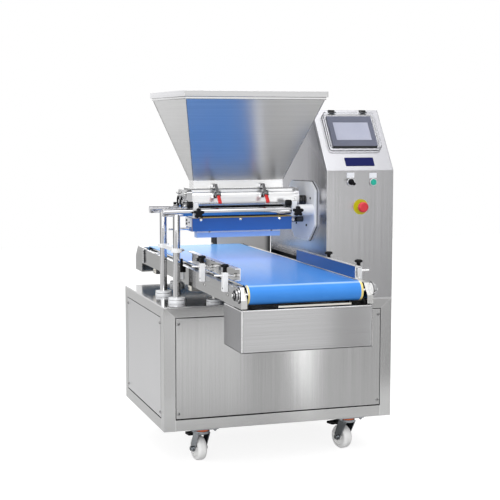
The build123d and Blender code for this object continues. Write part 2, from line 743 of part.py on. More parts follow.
def make_slide_blocks():
    pieces = []
    for x, star in zip(block_sides, star_places):
        front = slide_block(x, bar_front, 1)
        front += block(x, x + yoke[0], bar_front + slide_reach, bar_rear - slide_reach,
                       manifold_top, manifold_top + yoke[1])
        pieces.append(front - rod_y(block_front, bar_front, star, star_height, 4 + shaft_gap))
        pieces.append(slide_block(x, bar_rear, -1))
        pieces += [bumper(x, bar_front, 12.5), bumper(x, bar_rear, 5.5)]
    return pieces


def make_star_knob(x):
    face, back = block_front - 28, block_front - 8
    knob = rod_y(face, back, x, star_height, 12)
    for i in range(knob_lobes):
        angle = radians(90 + 360 / knob_lobes * i)
        knob += rod_y(face, back, x + 14 * cos(angle), star_height + 14 * sin(angle), 6)
    knob += rod_y(back, block_front - slip, x, star_height, 7)
    return knob + rod_y(block_front - slip, block_front + 3.5, x, star_height, 4)


save("slide_blocks", *make_slide_blocks())
save("left_star_knob", make_star_knob(star_places[0]))
save("right_star_knob", make_star_knob(star_places[1]))

# Conveyor
rail_deep = 26
rail_run = (-505, tail_axis - 30)
nose_outline = [(-580, rail_bottom), (-580, 574), (-547, 613), (-500, 613), (-500, rail_bottom)]
tail_plate_outline = [(rail_run[1] - 7, rail_bottom), (rail_run[1] - 7, 613), (860, 613), (860, rail_bottom)]
hood_front, hood_bottom, hood_top = 847, 505, 613
tail_outline = [(hood_front, hood_bottom), (hood_front, hood_top), (921, hood_top), (tail_end, 567),
                (tail_end, hood_bottom)]
nose_shaft = 6
nose_reach = 24
drum_shaft = 8
tail_plate = 6
hood_lip = 7
bed_top = roller_height + roller_radius - 0.5
nose_wide = 22


def rail(outer, inward, top):
    # A channel with its web outside; inward is 1 for the left rail and -1 for the right rail
    def strip(depth, z0, z1):
        return block(min(outer, outer + inward * depth), max(outer, outer + inward * depth), *rail_run, z0, z1)
    channel = strip(sheet, rail_bottom, top)
    channel += strip(rail_deep, rail_bottom, rail_bottom + sheet)
    return channel + strip(rail_deep, top - sheet, top)


def make_conveyor_frame():
    frame = rail(rail_left, 1, rail_top) + rail(rail_right, -1, far_rail_top)
    for y in (-450, -100, 250, 600):
        frame += block(rail_left + 1, rail_right - 1, y - 20, y + 20, 575, bed_top - 6)
    frame += block(belt_left + 2, belt_right - 2, nose_axis + 41, tail_axis - 40, bed_top - 6.5, bed_top)
    for y in leg_rows:
        frame += block(rail_left, rail_right, y - 20, y + 20, rail_bottom - 20, rail_bottom)
        for x in leg_sides:
            frame += rod_z(cabinet_height, rail_bottom - 20, x, y, leg_radius)
    for x in (rail_left, rail_right - nose_wide):
        frame += plate_x(nose_outline, x, x + nose_wide)
    frame -= rod_x(rail_left, rail_right, nose_axis, roller_height, nose_shaft + shaft_gap)
    for x in (rail_left, rail_right - tail_plate):
        frame += plate_x(tail_plate_outline, x, x + tail_plate)
    hood = plate_x(tail_outline, rail_left, rail_right)
    hood -= plate_x(tail_outline, rail_left + sheet, rail_right - sheet, sheet)
    hood -= block(rail_left + sheet, rail_right - sheet, hood_front, hood_front + sheet, hood_bottom + hood_lip,
                  hood_top - sheet)
    frame += hood
    return frame - rod_x(rail_left, rail_right, tail_axis, roller_height, drum_shaft + shaft_gap)


def loop_solid(radius):
    run = block(belt_left, belt_right, nose_axis, tail_axis, roller_height - radius, roller_height + radius)
    run += rod_x(belt_left, belt_right, nose_axis, roller_height, radius)
    return run + rod_x(belt_left, belt_right, tail_axis, roller_height, radius)


belt = loop_solid(roller_radius + belt_thickness) - loop_solid(roller_radius)
nose_roller = rod_x(belt_left + 2, belt_right - 2, nose_axis, roller_height, roller_radius - 0.3)
nose_roller += rod_x(rail_left - nose_reach, rail_right + nose_reach, nose_axis, roller_height, nose_shaft)
drive_roller = rod_x(belt_left + 2, belt_right - 2, tail_axis, roller_height, roller_radius - 0.3)
drive_roller -= rod_x(belt_left + 10, belt_right - 10, tail_axis, roller_height, roller_radius - 5)
drive_roller -= rod_x(belt_left + 2, belt_right - 2, tail_axis, roller_height, drum_shaft + shaft_gap)
drum_motor = rod_x(rail_left, rail_right, tail_axis, roller_height, drum_shaft)
drum_motor += rod_x(belt_left + 70, belt_right - 70, tail_axis, roller_height, 21)


def outside(rail_face, outward, depth):
    # The X span from a rail's outer face; outward is -1 at the left rail and 1 at the right rail
    return sorted((rail_face, rail_face + outward * depth))


def nose_bearing(rail_face, outward):
    # A round flange bearing with a stepped hub
    housing = rod_x(*outside(rail_face, outward, 7), nose_axis, roller_height, 25)
    housing += rod_x(*outside(rail_face, outward, 15), nose_axis, roller_height, 19)
    housing += rod_x(*outside(rail_face, outward, 20), nose_axis, roller_height, 11)
    return housing - rod_x(*outside(rail_face, outward, 20), nose_axis, roller_height, nose_shaft + shaft_gap)


def drum_holder(rail_face, outward):
    # A ring inside the tail plate, round the drum's shaft
    inner_face = rail_face - outward * tail_plate
    span = outside(inner_face, -outward, 9)
    ring = rod_x(*span, tail_axis, roller_height, 20)
    return ring - rod_x(*span, tail_axis, roller_height, drum_shaft + shaft_gap)


rail_faces = {rail_left: -1, rail_right: 1}
bearings = [nose_bearing(*place) for place in rail_faces.items()]
bearings += [drum_holder(*place) for place in rail_faces.items()]


def make_drip_box():
    x0, x1 = rail_left, rail_right - 2
    outer = block(x0, x1, drip_box_front, drip_box_rear, drip_box_bottom, drip_box_top)
    inner = block(x0 + sheet, x1 - sheet, drip_box_front + sheet, drip_box_rear - sheet,
                  drip_box_bottom + sheet, drip_box_top)
    box = along_z(outer, drip_box_corner) - along_z(inner, drip_box_corner - sheet)
    for x in (x0, x1 - sheet):
        box += block(x, x + sheet, -500, -400, drip_box_top, rail_bottom)
    return box


inverter_box = block(466, 725, 880, tail_end, hood_top, 700)
inverter_box += block(rail_right + 3, 725, 880, tail_end, 555, hood_top)
inverter_box = along_z(inverter_box, 6)

save("conveyor_frame", make_conveyor_frame())
save("belt", belt)
save("nose_roller", nose_roller)
save("drive_roller", drive_roller)
save("drum_motor", drum_motor)
save("roller_bearings", *bearings)
save("drip_box", make_drip_box())
save("inverter_box", inverter_box)

# Tray guides on rods through clamp blocks
guide_bottom = belt_top + 4
guide_top = guide_bottom + 42
guide_deep = 20
rod_height = 640
rod_radius = 3.5
clamp_block = (586, 651)
clamp_wide = 18
knob_stud = 4
knob_neck = 17.2
knob_head = 11


def make_guide(face, outward, run, rod_end):
    # A channel with its web beside the belt; outward is -1 for the left guide and 1 for the right guide
    def strip(depth, z0, z1):
        return block(min(face, face + outward * depth), max(face, face + outward * depth), *run, z0, z1)
    guide = strip(sheet, guide_bottom, guide_top)
    guide += strip(guide_deep, guide_bottom, guide_bottom + sheet)
    guide += strip(guide_deep, guide_top - sheet, guide_top)
    for y in guide_clamps:
        guide += rod_x(min(face + outward, rod_end), max(face + outward, rod_end), y, rod_height, rod_radius)
    return guide


def make_clamp_block(x0, y):
    body = along_z(block(x0, x0 + clamp_wide, y - 12.5, y + 12.5, *clamp_block), 2)
    body -= rod_x(x0, x0 + clamp_wide, y, rod_height, rod_radius + shaft_gap)
    return body - rod_z(rod_height, clamp_block[1], x0 + clamp_wide / 2, y, knob_stud + shaft_gap)


def make_guide_knob(x, y):
    base = clamp_block[1] + slip
    head_bottom = base + knob_neck
    head_top = head_bottom + knob_head
    knob = rod_z(base, head_bottom, x, y, 7.5) + rod_z(head_bottom, head_top, x, y, 10)
    for i in range(knob_lobes):
        angle = radians(360 / knob_lobes * i)
        knob += rod_z(head_bottom, head_top, x + 10 * cos(angle), y + 10 * sin(angle), 5)
    return knob + rod_z(base - 6, base, x, y, knob_stud)


block_places = {"left": rail_left - clamp_wide, "right": rail_right}
save("left_guide", make_guide(149, -1, (-475, 128), 70))
save("right_guide", make_guide(544, 1, (-529, 50), 640))
save("guide_blocks", *[make_clamp_block(x0, y) for x0 in block_places.values() for y in guide_clamps])
for side, x0 in block_places.items():
    for place, y in zip(("front", "rear"), guide_clamps):
        save(side + "_" + place + "_guide_knob", make_guide_knob(x0 + clamp_wide / 2, y))

sensor = along_z(block(rail_left - 11, rail_left, 152, 168, 584, 636), 2)
sensor += block(rail_left - 7, rail_left, 153, 164, 556, 584)
save("tray_sensor", sensor)

# Casters
axle_drop = -caster_height + wheel_diameter / 2
leg_inner = wheel_width / 2 + 2.5
leg_outer = leg_inner + 3.5
king_radius = 6
axle_radius = 5


mount_plate = 5
ring_top = -7
ring_bottom = -16
ring_radius = 26
ring_bore = 19
crown_bottom = -26
crown_radius = 29
pedal_half = 32


def swivelled(shape, x, y, turn):
    # The shape turned about the upright line through x, y
    return Pos(x, y, 0) * Rot(0, 0, turn) * Pos(-x, -y, 0) * shape


def caster_mount(x, y):
    mount = along_z(block(x - 55, x + 55, y - 45, y + 45, -mount_plate, 0), 8)
    mount += rod_z(ring_top, -mount_plate, x, y, ring_radius - 2)
    mount += rod_z(ring_bottom, ring_top, x, y, ring_bore)
    mount -= rod_z(ring_bottom, 0, x, y, king_radius + shaft_gap)
    ring = rod_z(ring_bottom, ring_top, x, y, ring_radius)
    return [mount, ring - rod_z(ring_bottom, ring_top, x, y, ring_bore + shaft_gap)]


def caster_fork(x, y, turn):
    fork = rod_z(crown_bottom, ring_bottom - slip, x, y, crown_radius)
    fork += rod_z(ring_bottom - slip, -2, x, y, king_radius)
    leg = [(y - 22, -22), (y + 24, -22), (y + 50, -80), (y + 48, -98), (y + 34, -107), (y + 21, -100)]
    for x0 in (x - leg_outer, x + leg_inner):
        fork += plate_x(leg, x0, x0 + leg_outer - leg_inner)
    fork += rod_x(x - leg_outer - 5, x + leg_outer + 5, y + caster_trail, axle_drop, axle_radius)
    for x0 in (x - leg_outer - 5, x + leg_outer):
        fork += rod_x(x0, x0 + 5, y + caster_trail, axle_drop, 8.5)
    pedal = block(x - leg_inner, x + leg_inner, y + 31.5, y + 54, -44, -38)
    pedal += along_z(block(x - pedal_half, x + pedal_half, y + 54, y + 94, -47, -39), 5)
    return [swivelled(fork, x, y, turn), swivelled(pedal, x, y, turn)]


def caster_wheel(x, y, turn):
    left, right = x - wheel_width / 2, x + wheel_width / 2
    wheel = rod_x(left, right, y + caster_trail, axle_drop, wheel_diameter / 2)
    wheel = fillet(wheel.edges(), 13)
    for x0 in (left, right - 6):
        ring = rod_x(x0, x0 + 6, y + caster_trail, axle_drop, 33)
        wheel -= ring - rod_x(x0, x0 + 6, y + caster_trail, axle_drop, 13)
    wheel -= rod_x(left, right, y + caster_trail, axle_drop, axle_radius + shaft_gap)
    return swivelled(wheel, x, y, turn)


caster_rows = {"front": caster_front, "rear": cabinet_depth - caster_front}
caster_lines = {"left": caster_side, "right": cabinet_width - caster_side + 2}
mounts = [piece for y in caster_rows.values() for x in caster_lines.values() for piece in caster_mount(x, y)]
save("caster_plates", *mounts)
for row, y in caster_rows.items():
    for line, x in caster_lines.items():
        save(row + "_" + line + "_caster_fork", *caster_fork(x, y, caster_turns[line]))
        save(row + "_" + line + "_caster_wheel", caster_wheel(x, y, caster_turns[line]))
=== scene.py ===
import bpy, bmesh, json
from math import radians, cos, sin, pi, atan2
from mathutils import Matrix, Vector

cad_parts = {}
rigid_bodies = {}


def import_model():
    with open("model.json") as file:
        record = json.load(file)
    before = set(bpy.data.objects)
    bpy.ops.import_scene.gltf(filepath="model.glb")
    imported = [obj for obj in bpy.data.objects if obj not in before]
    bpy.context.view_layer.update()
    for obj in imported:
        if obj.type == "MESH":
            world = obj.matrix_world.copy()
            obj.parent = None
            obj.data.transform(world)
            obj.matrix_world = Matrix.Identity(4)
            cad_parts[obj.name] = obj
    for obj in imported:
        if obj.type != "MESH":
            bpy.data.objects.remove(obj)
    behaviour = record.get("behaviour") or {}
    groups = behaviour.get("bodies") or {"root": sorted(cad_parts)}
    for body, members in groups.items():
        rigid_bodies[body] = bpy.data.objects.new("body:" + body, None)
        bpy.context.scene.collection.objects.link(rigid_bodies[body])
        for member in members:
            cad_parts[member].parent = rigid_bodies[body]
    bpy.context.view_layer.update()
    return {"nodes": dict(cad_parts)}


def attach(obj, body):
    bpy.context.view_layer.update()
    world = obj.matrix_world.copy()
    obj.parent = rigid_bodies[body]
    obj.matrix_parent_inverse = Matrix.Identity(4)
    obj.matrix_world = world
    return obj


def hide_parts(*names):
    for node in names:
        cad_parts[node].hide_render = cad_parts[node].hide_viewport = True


for thing in list(bpy.data.objects):  # the start-up cube, lamp and camera
    bpy.data.objects.remove(thing)
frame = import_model()
nodes, scene = frame["nodes"], bpy.context.scene
cabCorner = Vector((-0.463, -0.1875, 0.14))  # cabinet's front left bottom corner, where the drawing starts
print("frame loaded:", len(nodes), "nodes")

# places on the machine that several fittings share, in the drawing's millimetres
left, right, front, rear, up, down = (-1, 0, 0), (1, 0, 0), (0, -1, 0), (0, 1, 0), (0, 0, 1), (0, 0, -1)
cabinet = {"wide": 926, "deep": 655, "high": 474}
hopper = {"x": 357, "y": 234, "foot": 934, "top": 1244}
slope = {"run": 163.5, "rise": 232.6, "long": 284.3, "foot": 974.4}  # the column's face above the switches
rails = ((117, left), (591, right))  # outer faces of the conveyor's two sides
nose = {"y": -556, "z": 589}  # axis of the front roller
guides = {"rows": (-427, -145), "rod": 640, "knobs": {"left": 108, "right": 600}, "top": 651}
selector = {"x": 746, "y": -5, "z": 930}
rotors = {"y": (208, 260), "z": 851}
casters = [(163, 52), (765, 52), (163, 603), (765, 603)]
corners = [(i, j) for i in (-1, 1) for j in (-1, 1)]  # the signs of a rectangle's four


def at(x, y, z):  # drawing millimetres to the frame's metres
    return cabCorner + Vector((x, y, z)) / 1000


# camera, where the photographer stood
shot = {"place": (-1.5745, -4.6083, 1.3019), "turn": (84.065, -0.0925, -18.143), "lens": 89.08}
lens = bpy.data.cameras.new("shot")
lens.lens, lens.sensor_width, lens.clip_end = shot["lens"], 36, 60
camera = bpy.data.objects.new("shot", lens)
camera.location = shot["place"]
camera.rotation_euler = [radians(a) for a in shot["turn"]]
scene.collection.objects.link(camera)
scene.camera = camera
print("camera set")


# node helpers
def put(tree, kind, sockets=(), **settings):  # one shader node, its settings, its sockets set or linked
    node = tree.nodes.new("ShaderNode" + kind)
    for key, value in settings.items():
        setattr(node, key, value)
    for key, value in dict(sockets).items():
        if isinstance(value, bpy.types.NodeSocket):
            tree.links.new(value, node.inputs[key])
        else:
            node.inputs[key].default_value = value
    return node


def calc(tree, how, a, b=0.0, c=0.0):  # one sum on shader values
    return put(tree, "Math", {0: a, 1: b, 2: c}, operation=how).outputs[0]


def blend(tree, fac, a, b):  # colour a to colour b
    return put(tree, "Mix", {0: fac, 6: a, 7: b}, data_type="RGBA").outputs[2]


def ramp(tree, value, ends, levels, smooth=False):  # a value between two ends to a level at each
    how = "SMOOTHSTEP" if smooth else "LINEAR"
    sockets = {0: value, 1: ends[0], 2: ends[1], 3: levels[0], 4: levels[1]}
    return put(tree, "MapRange", sockets, interpolation_type=how).outputs[0]


def spread(tree, value, low, high):  # a 0-1 field to low-high
    return ramp(tree, value, (0.0, 1.0), (low, high))


def noise(tree, coords, scale, detail=2.0, rough=0.5):  # scale is one number or three, per metre
    if not isinstance(scale, (int, float)):
        coords = put(tree, "Mapping", {"Vector": coords, "Scale": scale}).outputs[0]
        scale = 1.0
    return put(tree, "TexNoise", {"Vector": coords, "Scale": scale, "Detail": detail,
                                  "Roughness": rough}).outputs["Fac"]


def ownPlace(tree):  # where a point lies on its piece
    return put(tree, "TexCoord").outputs["Object"]


def facing(tree):
    return put(tree, "NewGeometry").outputs["Normal"]


def split(tree, vector):
    return put(tree, "SeparateXYZ", {0: vector}).outputs


def evenly(tree, a, share, b):  # a for its share, b for the rest
    return calc(tree, "MULTIPLY_ADD", a, share, calc(tree, "MULTIPLY", b, 1 - share))


def touch(tree, colour, mask, share, other):  # a share of another colour, where the mask is
    return blend(tree, calc(tree, "MULTIPLY", mask, share), colour, other)


def shade(tone, times):
    return [min(1, t * times) for t in tone] + [1]


def bumped(tree, height, strength, depth, **under):
    return put(tree, "Bump", {"Height": height, "Strength": strength, "Distance": depth, **under}).outputs[0]


def roundedEdges(tree, radius):  # a rounded normal, and 1 on the edges that it rounds
    rounded = put(tree, "Bevel", {"Radius": radius}, samples=4).outputs[0]
    sockets = {0: rounded, 1: facing(tree)}
    along = put(tree, "VectorMath", sockets, operation="DOT_PRODUCT").outputs["Value"]
    return rounded, ramp(tree, along, (0.995, 0.86), (0.0, 1.0))


def acrossGrain(tree, grain):  # the way a sanded sheet smears its reflections, square to its hair lines
    flat = facing(tree)
    if grain == "level":  # straight up the wall, whatever its slant
        up = put(tree, "CombineXYZ", {0: 0.003, 1: 0.002, 2: 1.0}).outputs[0]
        lean = put(tree, "VectorMath", {0: up, 1: flat}, operation="DOT_PRODUCT").outputs["Value"]
        away = put(tree, "VectorMath", {0: flat, "Scale": lean}, operation="SCALE").outputs[0]
        return put(tree, "VectorMath", {0: up, 1: away}, operation="SUBTRACT").outputs[0]
    lines = [1.0 if axis == grain else 0.004 for axis in "xyz"]
    return put(tree, "VectorMath", {0: lines, 1: flat}, operation="CROSS_PRODUCT").outputs[0]


def newFinish(name, **sockets):
    material = bpy.data.materials.new(name)
    material.use_nodes = True
    shader = material.node_tree.nodes["Principled BSDF"]
    for key, value in sockets.items():
        shader.inputs[key.replace("_", " ")].default_value = value
    return material, material.node_tree, shader


def wire(tree, shader, **sockets):
    for key, value in sockets.items():
        tree.links.new(value, shader.inputs[key.replace("_", " ")])


# steel: hair lines from the belt sander, slow clouds of handling, bright edges that are rubbed and carry a painted
# highlight
wornAndGlinting = (0.86, 0.86, 0.86, 1)  # where hands and cloths rub the edges, lightened further as a painted highlight
sanded = (0.35, 0.00004)  # strength and depth of the hair lines
grains = {"x": (7, 1300, 1300), "y": (1300, 7, 1300), "z": (1300, 1300, 7), "level": (7, 7, 1300)}
steels = {
    # darker towards the bottom, painted shade
    "steelAcross": {"grain": "x", "hair": "z", "tone": (0.52, 0.52, 0.52), "rough": (0.17, 0.25), "smear": 0.9,
                    "edge": 0.003, "fade": ("z", (20, 330), (-0.35, 0.3))},
    "steelBox": {"grain": "x", "tone": (0.50, 0.50, 0.505), "rough": (0.20, 0.28), "smear": 0.85, "edge": 0.004},
    "steelUp": {"grain": "z", "tone": (0.54, 0.54, 0.55), "rough": (0.20, 0.28), "smear": 0.85, "edge": 0.003,
                "streak": 0.34},
    # a lighter, lit copy for the side panels: painted light
    "steelFlank": {"grain": "z", "tone": (0.69, 0.69, 0.70), "rough": (0.18, 0.27), "smear": 0.85, "edge": 0.003},
    # a darker, shaded copy for the column's slope
    "steelSlope": {"grain": "z", "tone": (0.475, 0.475, 0.50), "rough": (0.20, 0.28), "smear": 0.85, "edge": 0.003},
    "steelGuide": {"grain": "y", "tone": (0.56, 0.56, 0.565), "rough": (0.14, 0.22), "smear": 0.5, "edge": 0.0012},
    # a darker, blue-tinted copy for the right guide: painted shade and a painted reflection of the belt
    "steelShade": {"grain": "y", "tone": (0.22, 0.27, 0.38), "rough": (0.06, 0.12), "smear": 0.5, "edge": 0.0012},
    "steelAlong": {"grain": "y", "tone": (0.60, 0.60, 0.59), "rough": (0.16, 0.24), "smear": 0.7, "edge": 0.0009},
    "steelRail": {"grain": "y", "tone": (0.40, 0.40, 0.40), "rough": (0.07, 0.12), "smear": 0.75, "edge": 0.0009},
    "steelHopper": {"grain": "level", "tone": (0.60, 0.60, 0.60), "rough": (0.24, 0.36), "smear": 0.88,
                    "edge": 0.0015},
    # lit and shaded copies of the rim's steel: darker on its left faces, lighter elsewhere
    "steelLip": {"grain": "level", "tone": (0.56, 0.56, 0.58), "rough": (0.14, 0.22), "smear": 0.7, "edge": 0.0022},
    "steelRim": {"grain": "level", "tone": (0.72, 0.72, 0.725), "rough": (0.14, 0.22), "smear": 0.7,
                 "edge": 0.0022},
    # a dark, shaded copy for the drip box's sides
    "steelSide": {"grain": "z", "tone": (0.28, 0.28, 0.29), "rough": (0.12, 0.19), "smear": 0.6, "edge": 0.0012},
    # darker towards the front, painted shade
    "steelPanel": {"grain": "y", "hair": "z", "tone": (0.54, 0.54, 0.57), "rough": (0.17, 0.25), "smear": 0.7,
                   "edge": 0.0012, "streak": 0.5, "fade": ("y", (40, 300), (-0.35, 0.9))},
    "steelSatin": {"grain": "x", "tone": (0.60, 0.60, 0.60), "rough": (0.14, 0.24), "smear": 0.5, "edge": 0.0007},
    # a lit copy, brighter than bare steel, for the pump and the hopper's neck in the shade under the hopper
    "steelPump": {"grain": "x", "tone": (0.90, 0.90, 0.905), "rough": (0.16, 0.24), "smear": 0.3,
                  "edge": 0.0008, "metal": 0.7},
    "steelCover": {"grain": "x", "tone": (0.42, 0.42, 0.43), "rough": (0.05, 0.10), "smear": 0.3, "edge": 0.0009},
    # dark steel, also used as painted shade in grooves, holes, lines and undersides
    "darkSteelAndShade": {"grain": "z", "tone": (0.26, 0.26, 0.265), "rough": (0.16, 0.28), "smear": 0.4, "edge": 0.0005},
}


def grainedSteel(name, look):
    material, tree, shader = newFinish(name, Metallic=look.get("metal", 1.0), Anisotropic=look["smear"])
    place = ownPlace(tree)
    fine = grains[look.get("hair", look["grain"])]
    hair = noise(tree, place, fine, 3.0, 0.6)
    streak = noise(tree, place, [n / 5 for n in fine], 2.0)
    cloud = noise(tree, place, 6.0, 3.0)
    rounded, edge = roundedEdges(tree, look["edge"])
    tone, streaky = look["tone"], look.get("streak", 0.20)
    broad = noise(tree, place, [n / 3.2 if n > 9 else 1.6 for n in fine], 2.0, 0.7)  # shows from a step away
    mixed = calc(tree, "MULTIPLY_ADD", streak, 0.3, calc(tree, "MULTIPLY", broad, 0.4))
    mixed = calc(tree, "MULTIPLY_ADD", hair, 0.3, mixed)
    share = spread(tree, mixed, -0.1, 1.1)
    if "fade" in look:  # painted shade: the share of light steel shifts along one axis
        axis, ends, shifts = look["fade"]
        axis = "xyz".index(axis)
        along = split(tree, place)[axis]
        ends = [at(end, end, end)[axis] for end in ends]
        share = calc(tree, "ADD", share, ramp(tree, along, ends, shifts))
    colour = blend(tree, share, shade(tone, 1 - streaky), shade(tone, 1 + streaky))
    # rubbed wear and a painted highlight along the edges
    colour = touch(tree, colour, edge, 0.6, wornAndGlinting)
    rough = spread(tree, evenly(tree, mixed, 0.6, cloud), *look["rough"])
    wire(tree, shader, Base_Color=colour, Roughness=rough, Normal=bumped(tree, hair, *sanded, Normal=rounded),
         Tangent=acrossGrain(tree, look["grain"]))
    return material


finish = {name: grainedSteel(name, look) for name, look in steels.items()}

# cabinet frame: stiles brushed up and painted lighter than the rails, rails brushed across, a ground mitre where
# they meet
mitre = {"stile": 0.045, "rail": 0.042, "line": 0.0011, "rough": (0.18, 0.27)}


def framedSteel():
    material, tree, shader = newFinish("steelFrame", Metallic=1.0, Anisotropic=0.8)
    place = ownPlace(tree)
    x, y, z = split(tree, place)
    sideways = calc(tree, "GREATER_THAN", calc(tree, "ABSOLUTE", split(tree, facing(tree))[0]), 0.7)
    low, high = at(0, 0, 0), at(*cabinet.values())
    fromEnds = calc(tree, "MINIMUM", calc(tree, "SUBTRACT", x, low.x), calc(tree, "SUBTRACT", high.x, x))
    fromDeep = calc(tree, "MINIMUM", calc(tree, "SUBTRACT", y, low.y), calc(tree, "SUBTRACT", high.y, y))
    out = put(tree, "Mix", {0: sideways, 2: fromEnds, 3: fromDeep}).outputs[0]  # in from the outer corner
    down = calc(tree, "DIVIDE", calc(tree, "SUBTRACT", high.z, z), mitre["rail"])
    down = calc(tree, "MINIMUM", down, 1.0)  # a stile runs straight through below its mitre
    gap = calc(tree, "SUBTRACT", calc(tree, "DIVIDE", out, mitre["stile"]), down)
    stile = calc(tree, "LESS_THAN", gap, 0.0)
    seam = calc(tree, "LESS_THAN", calc(tree, "ABSOLUTE", gap), mitre["line"] / mitre["rail"])
    hairUp = noise(tree, place, grains["z"], 3.0, 0.6)
    hairAcross = noise(tree, place, grains["level"], 3.0, 0.6)
    hair = put(tree, "Mix", {0: stile, 2: hairAcross, 3: hairUp}).outputs[0]
    cloud = noise(tree, place, 7.0, 3.0)
    rounded, edge = roundedEdges(tree, 0.003)
    colour = blend(tree, hair, (0.47, 0.47, 0.47, 1), (0.62, 0.62, 0.615, 1))
    # painted light: the stiles lighter than the rails
    colour = touch(tree, colour, stile, 0.5, (0.68, 0.68, 0.68, 1))
    colour = touch(tree, colour, seam, 0.6, (0.90, 0.90, 0.90, 1))
    # rubbed wear and a painted highlight along the edges
    colour = touch(tree, colour, edge, 0.6, wornAndGlinting)
    rough = spread(tree, evenly(tree, hair, 0.5, cloud), *mitre["rough"])
    smears = {0: stile, 4: acrossGrain(tree, "level"), 5: acrossGrain(tree, "z")}
    smear = put(tree, "Mix", smears, data_type="VECTOR").outputs[1]
    wire(tree, shader, Base_Color=colour, Roughness=rough, Tangent=smear,
         Normal=bumped(tree, hair, *sanded, Normal=rounded))
    return material


finish["steelFrame"] = framedSteel()

# bright steel and plated steel: little grain, some wiping marks, edges lightened by wear and a painted highlight
brights = {
    "steelMirror": {"tone": (0.70, 0.70, 0.71), "rough": (0.09, 0.15), "wipe": (9, 30, 9), "edge": 0.0012},
    "steelPolished": {"tone": (0.78, 0.78, 0.79), "rough": (0.02, 0.06), "wipe": (120, 12, 12), "edge": 0.0008},
    "steelBar": {"tone": (0.50, 0.50, 0.52), "rough": (0.02, 0.06), "wipe": (12, 120, 120), "edge": 0.0008},
    "steelScrew": {"tone": (0.62, 0.62, 0.61), "rough": (0.12, 0.22), "wipe": (300, 300, 300), "edge": 0.0004},
    "zincPlate": {"tone": (0.34, 0.36, 0.38), "rough": (0.16, 0.34), "wipe": (60, 60, 60), "edge": 0.0008},
    "couplingSteel": {"tone": (0.10, 0.098, 0.095), "rough": (0.10, 0.20), "wipe": (900, 40, 40), "edge": 0.0005},
    # painted highlight: near white steel on edges and faces that catch the light
    "steelHighlight": {"tone": (0.93, 0.93, 0.935), "rough": (0.22, 0.34), "wipe": (200, 200, 200), "edge": 0.0006},
    "weldBead": {"tone": (0.34, 0.34, 0.34), "rough": (0.16, 0.30), "wipe": (500, 500, 500), "edge": 0.0004},
}


def brightSteel(name, look):
    material, tree, shader = newFinish(name, Metallic=1.0)
    place = ownPlace(tree)
    wipe = noise(tree, place, look["wipe"], 3.0, 0.6)
    cloud = noise(tree, place, 11.0, 3.0)
    rounded, edge = roundedEdges(tree, look["edge"])
    colour = blend(tree, wipe, shade(look["tone"], 0.93), shade(look["tone"], 1.06))
    # rubbed wear and a painted highlight along the edges
    colour = touch(tree, colour, edge, 0.5, (0.84, 0.84, 0.84, 1))
    rough = spread(tree, evenly(tree, wipe, 0.5, cloud), *look["rough"])
    wire(tree, shader, Base_Color=colour, Roughness=rough,
         Normal=bumped(tree, wipe, 0.1, 0.00003, Normal=rounded))
    return material


finish.update({name: brightSteel(name, look) for name, look in brights.items()})

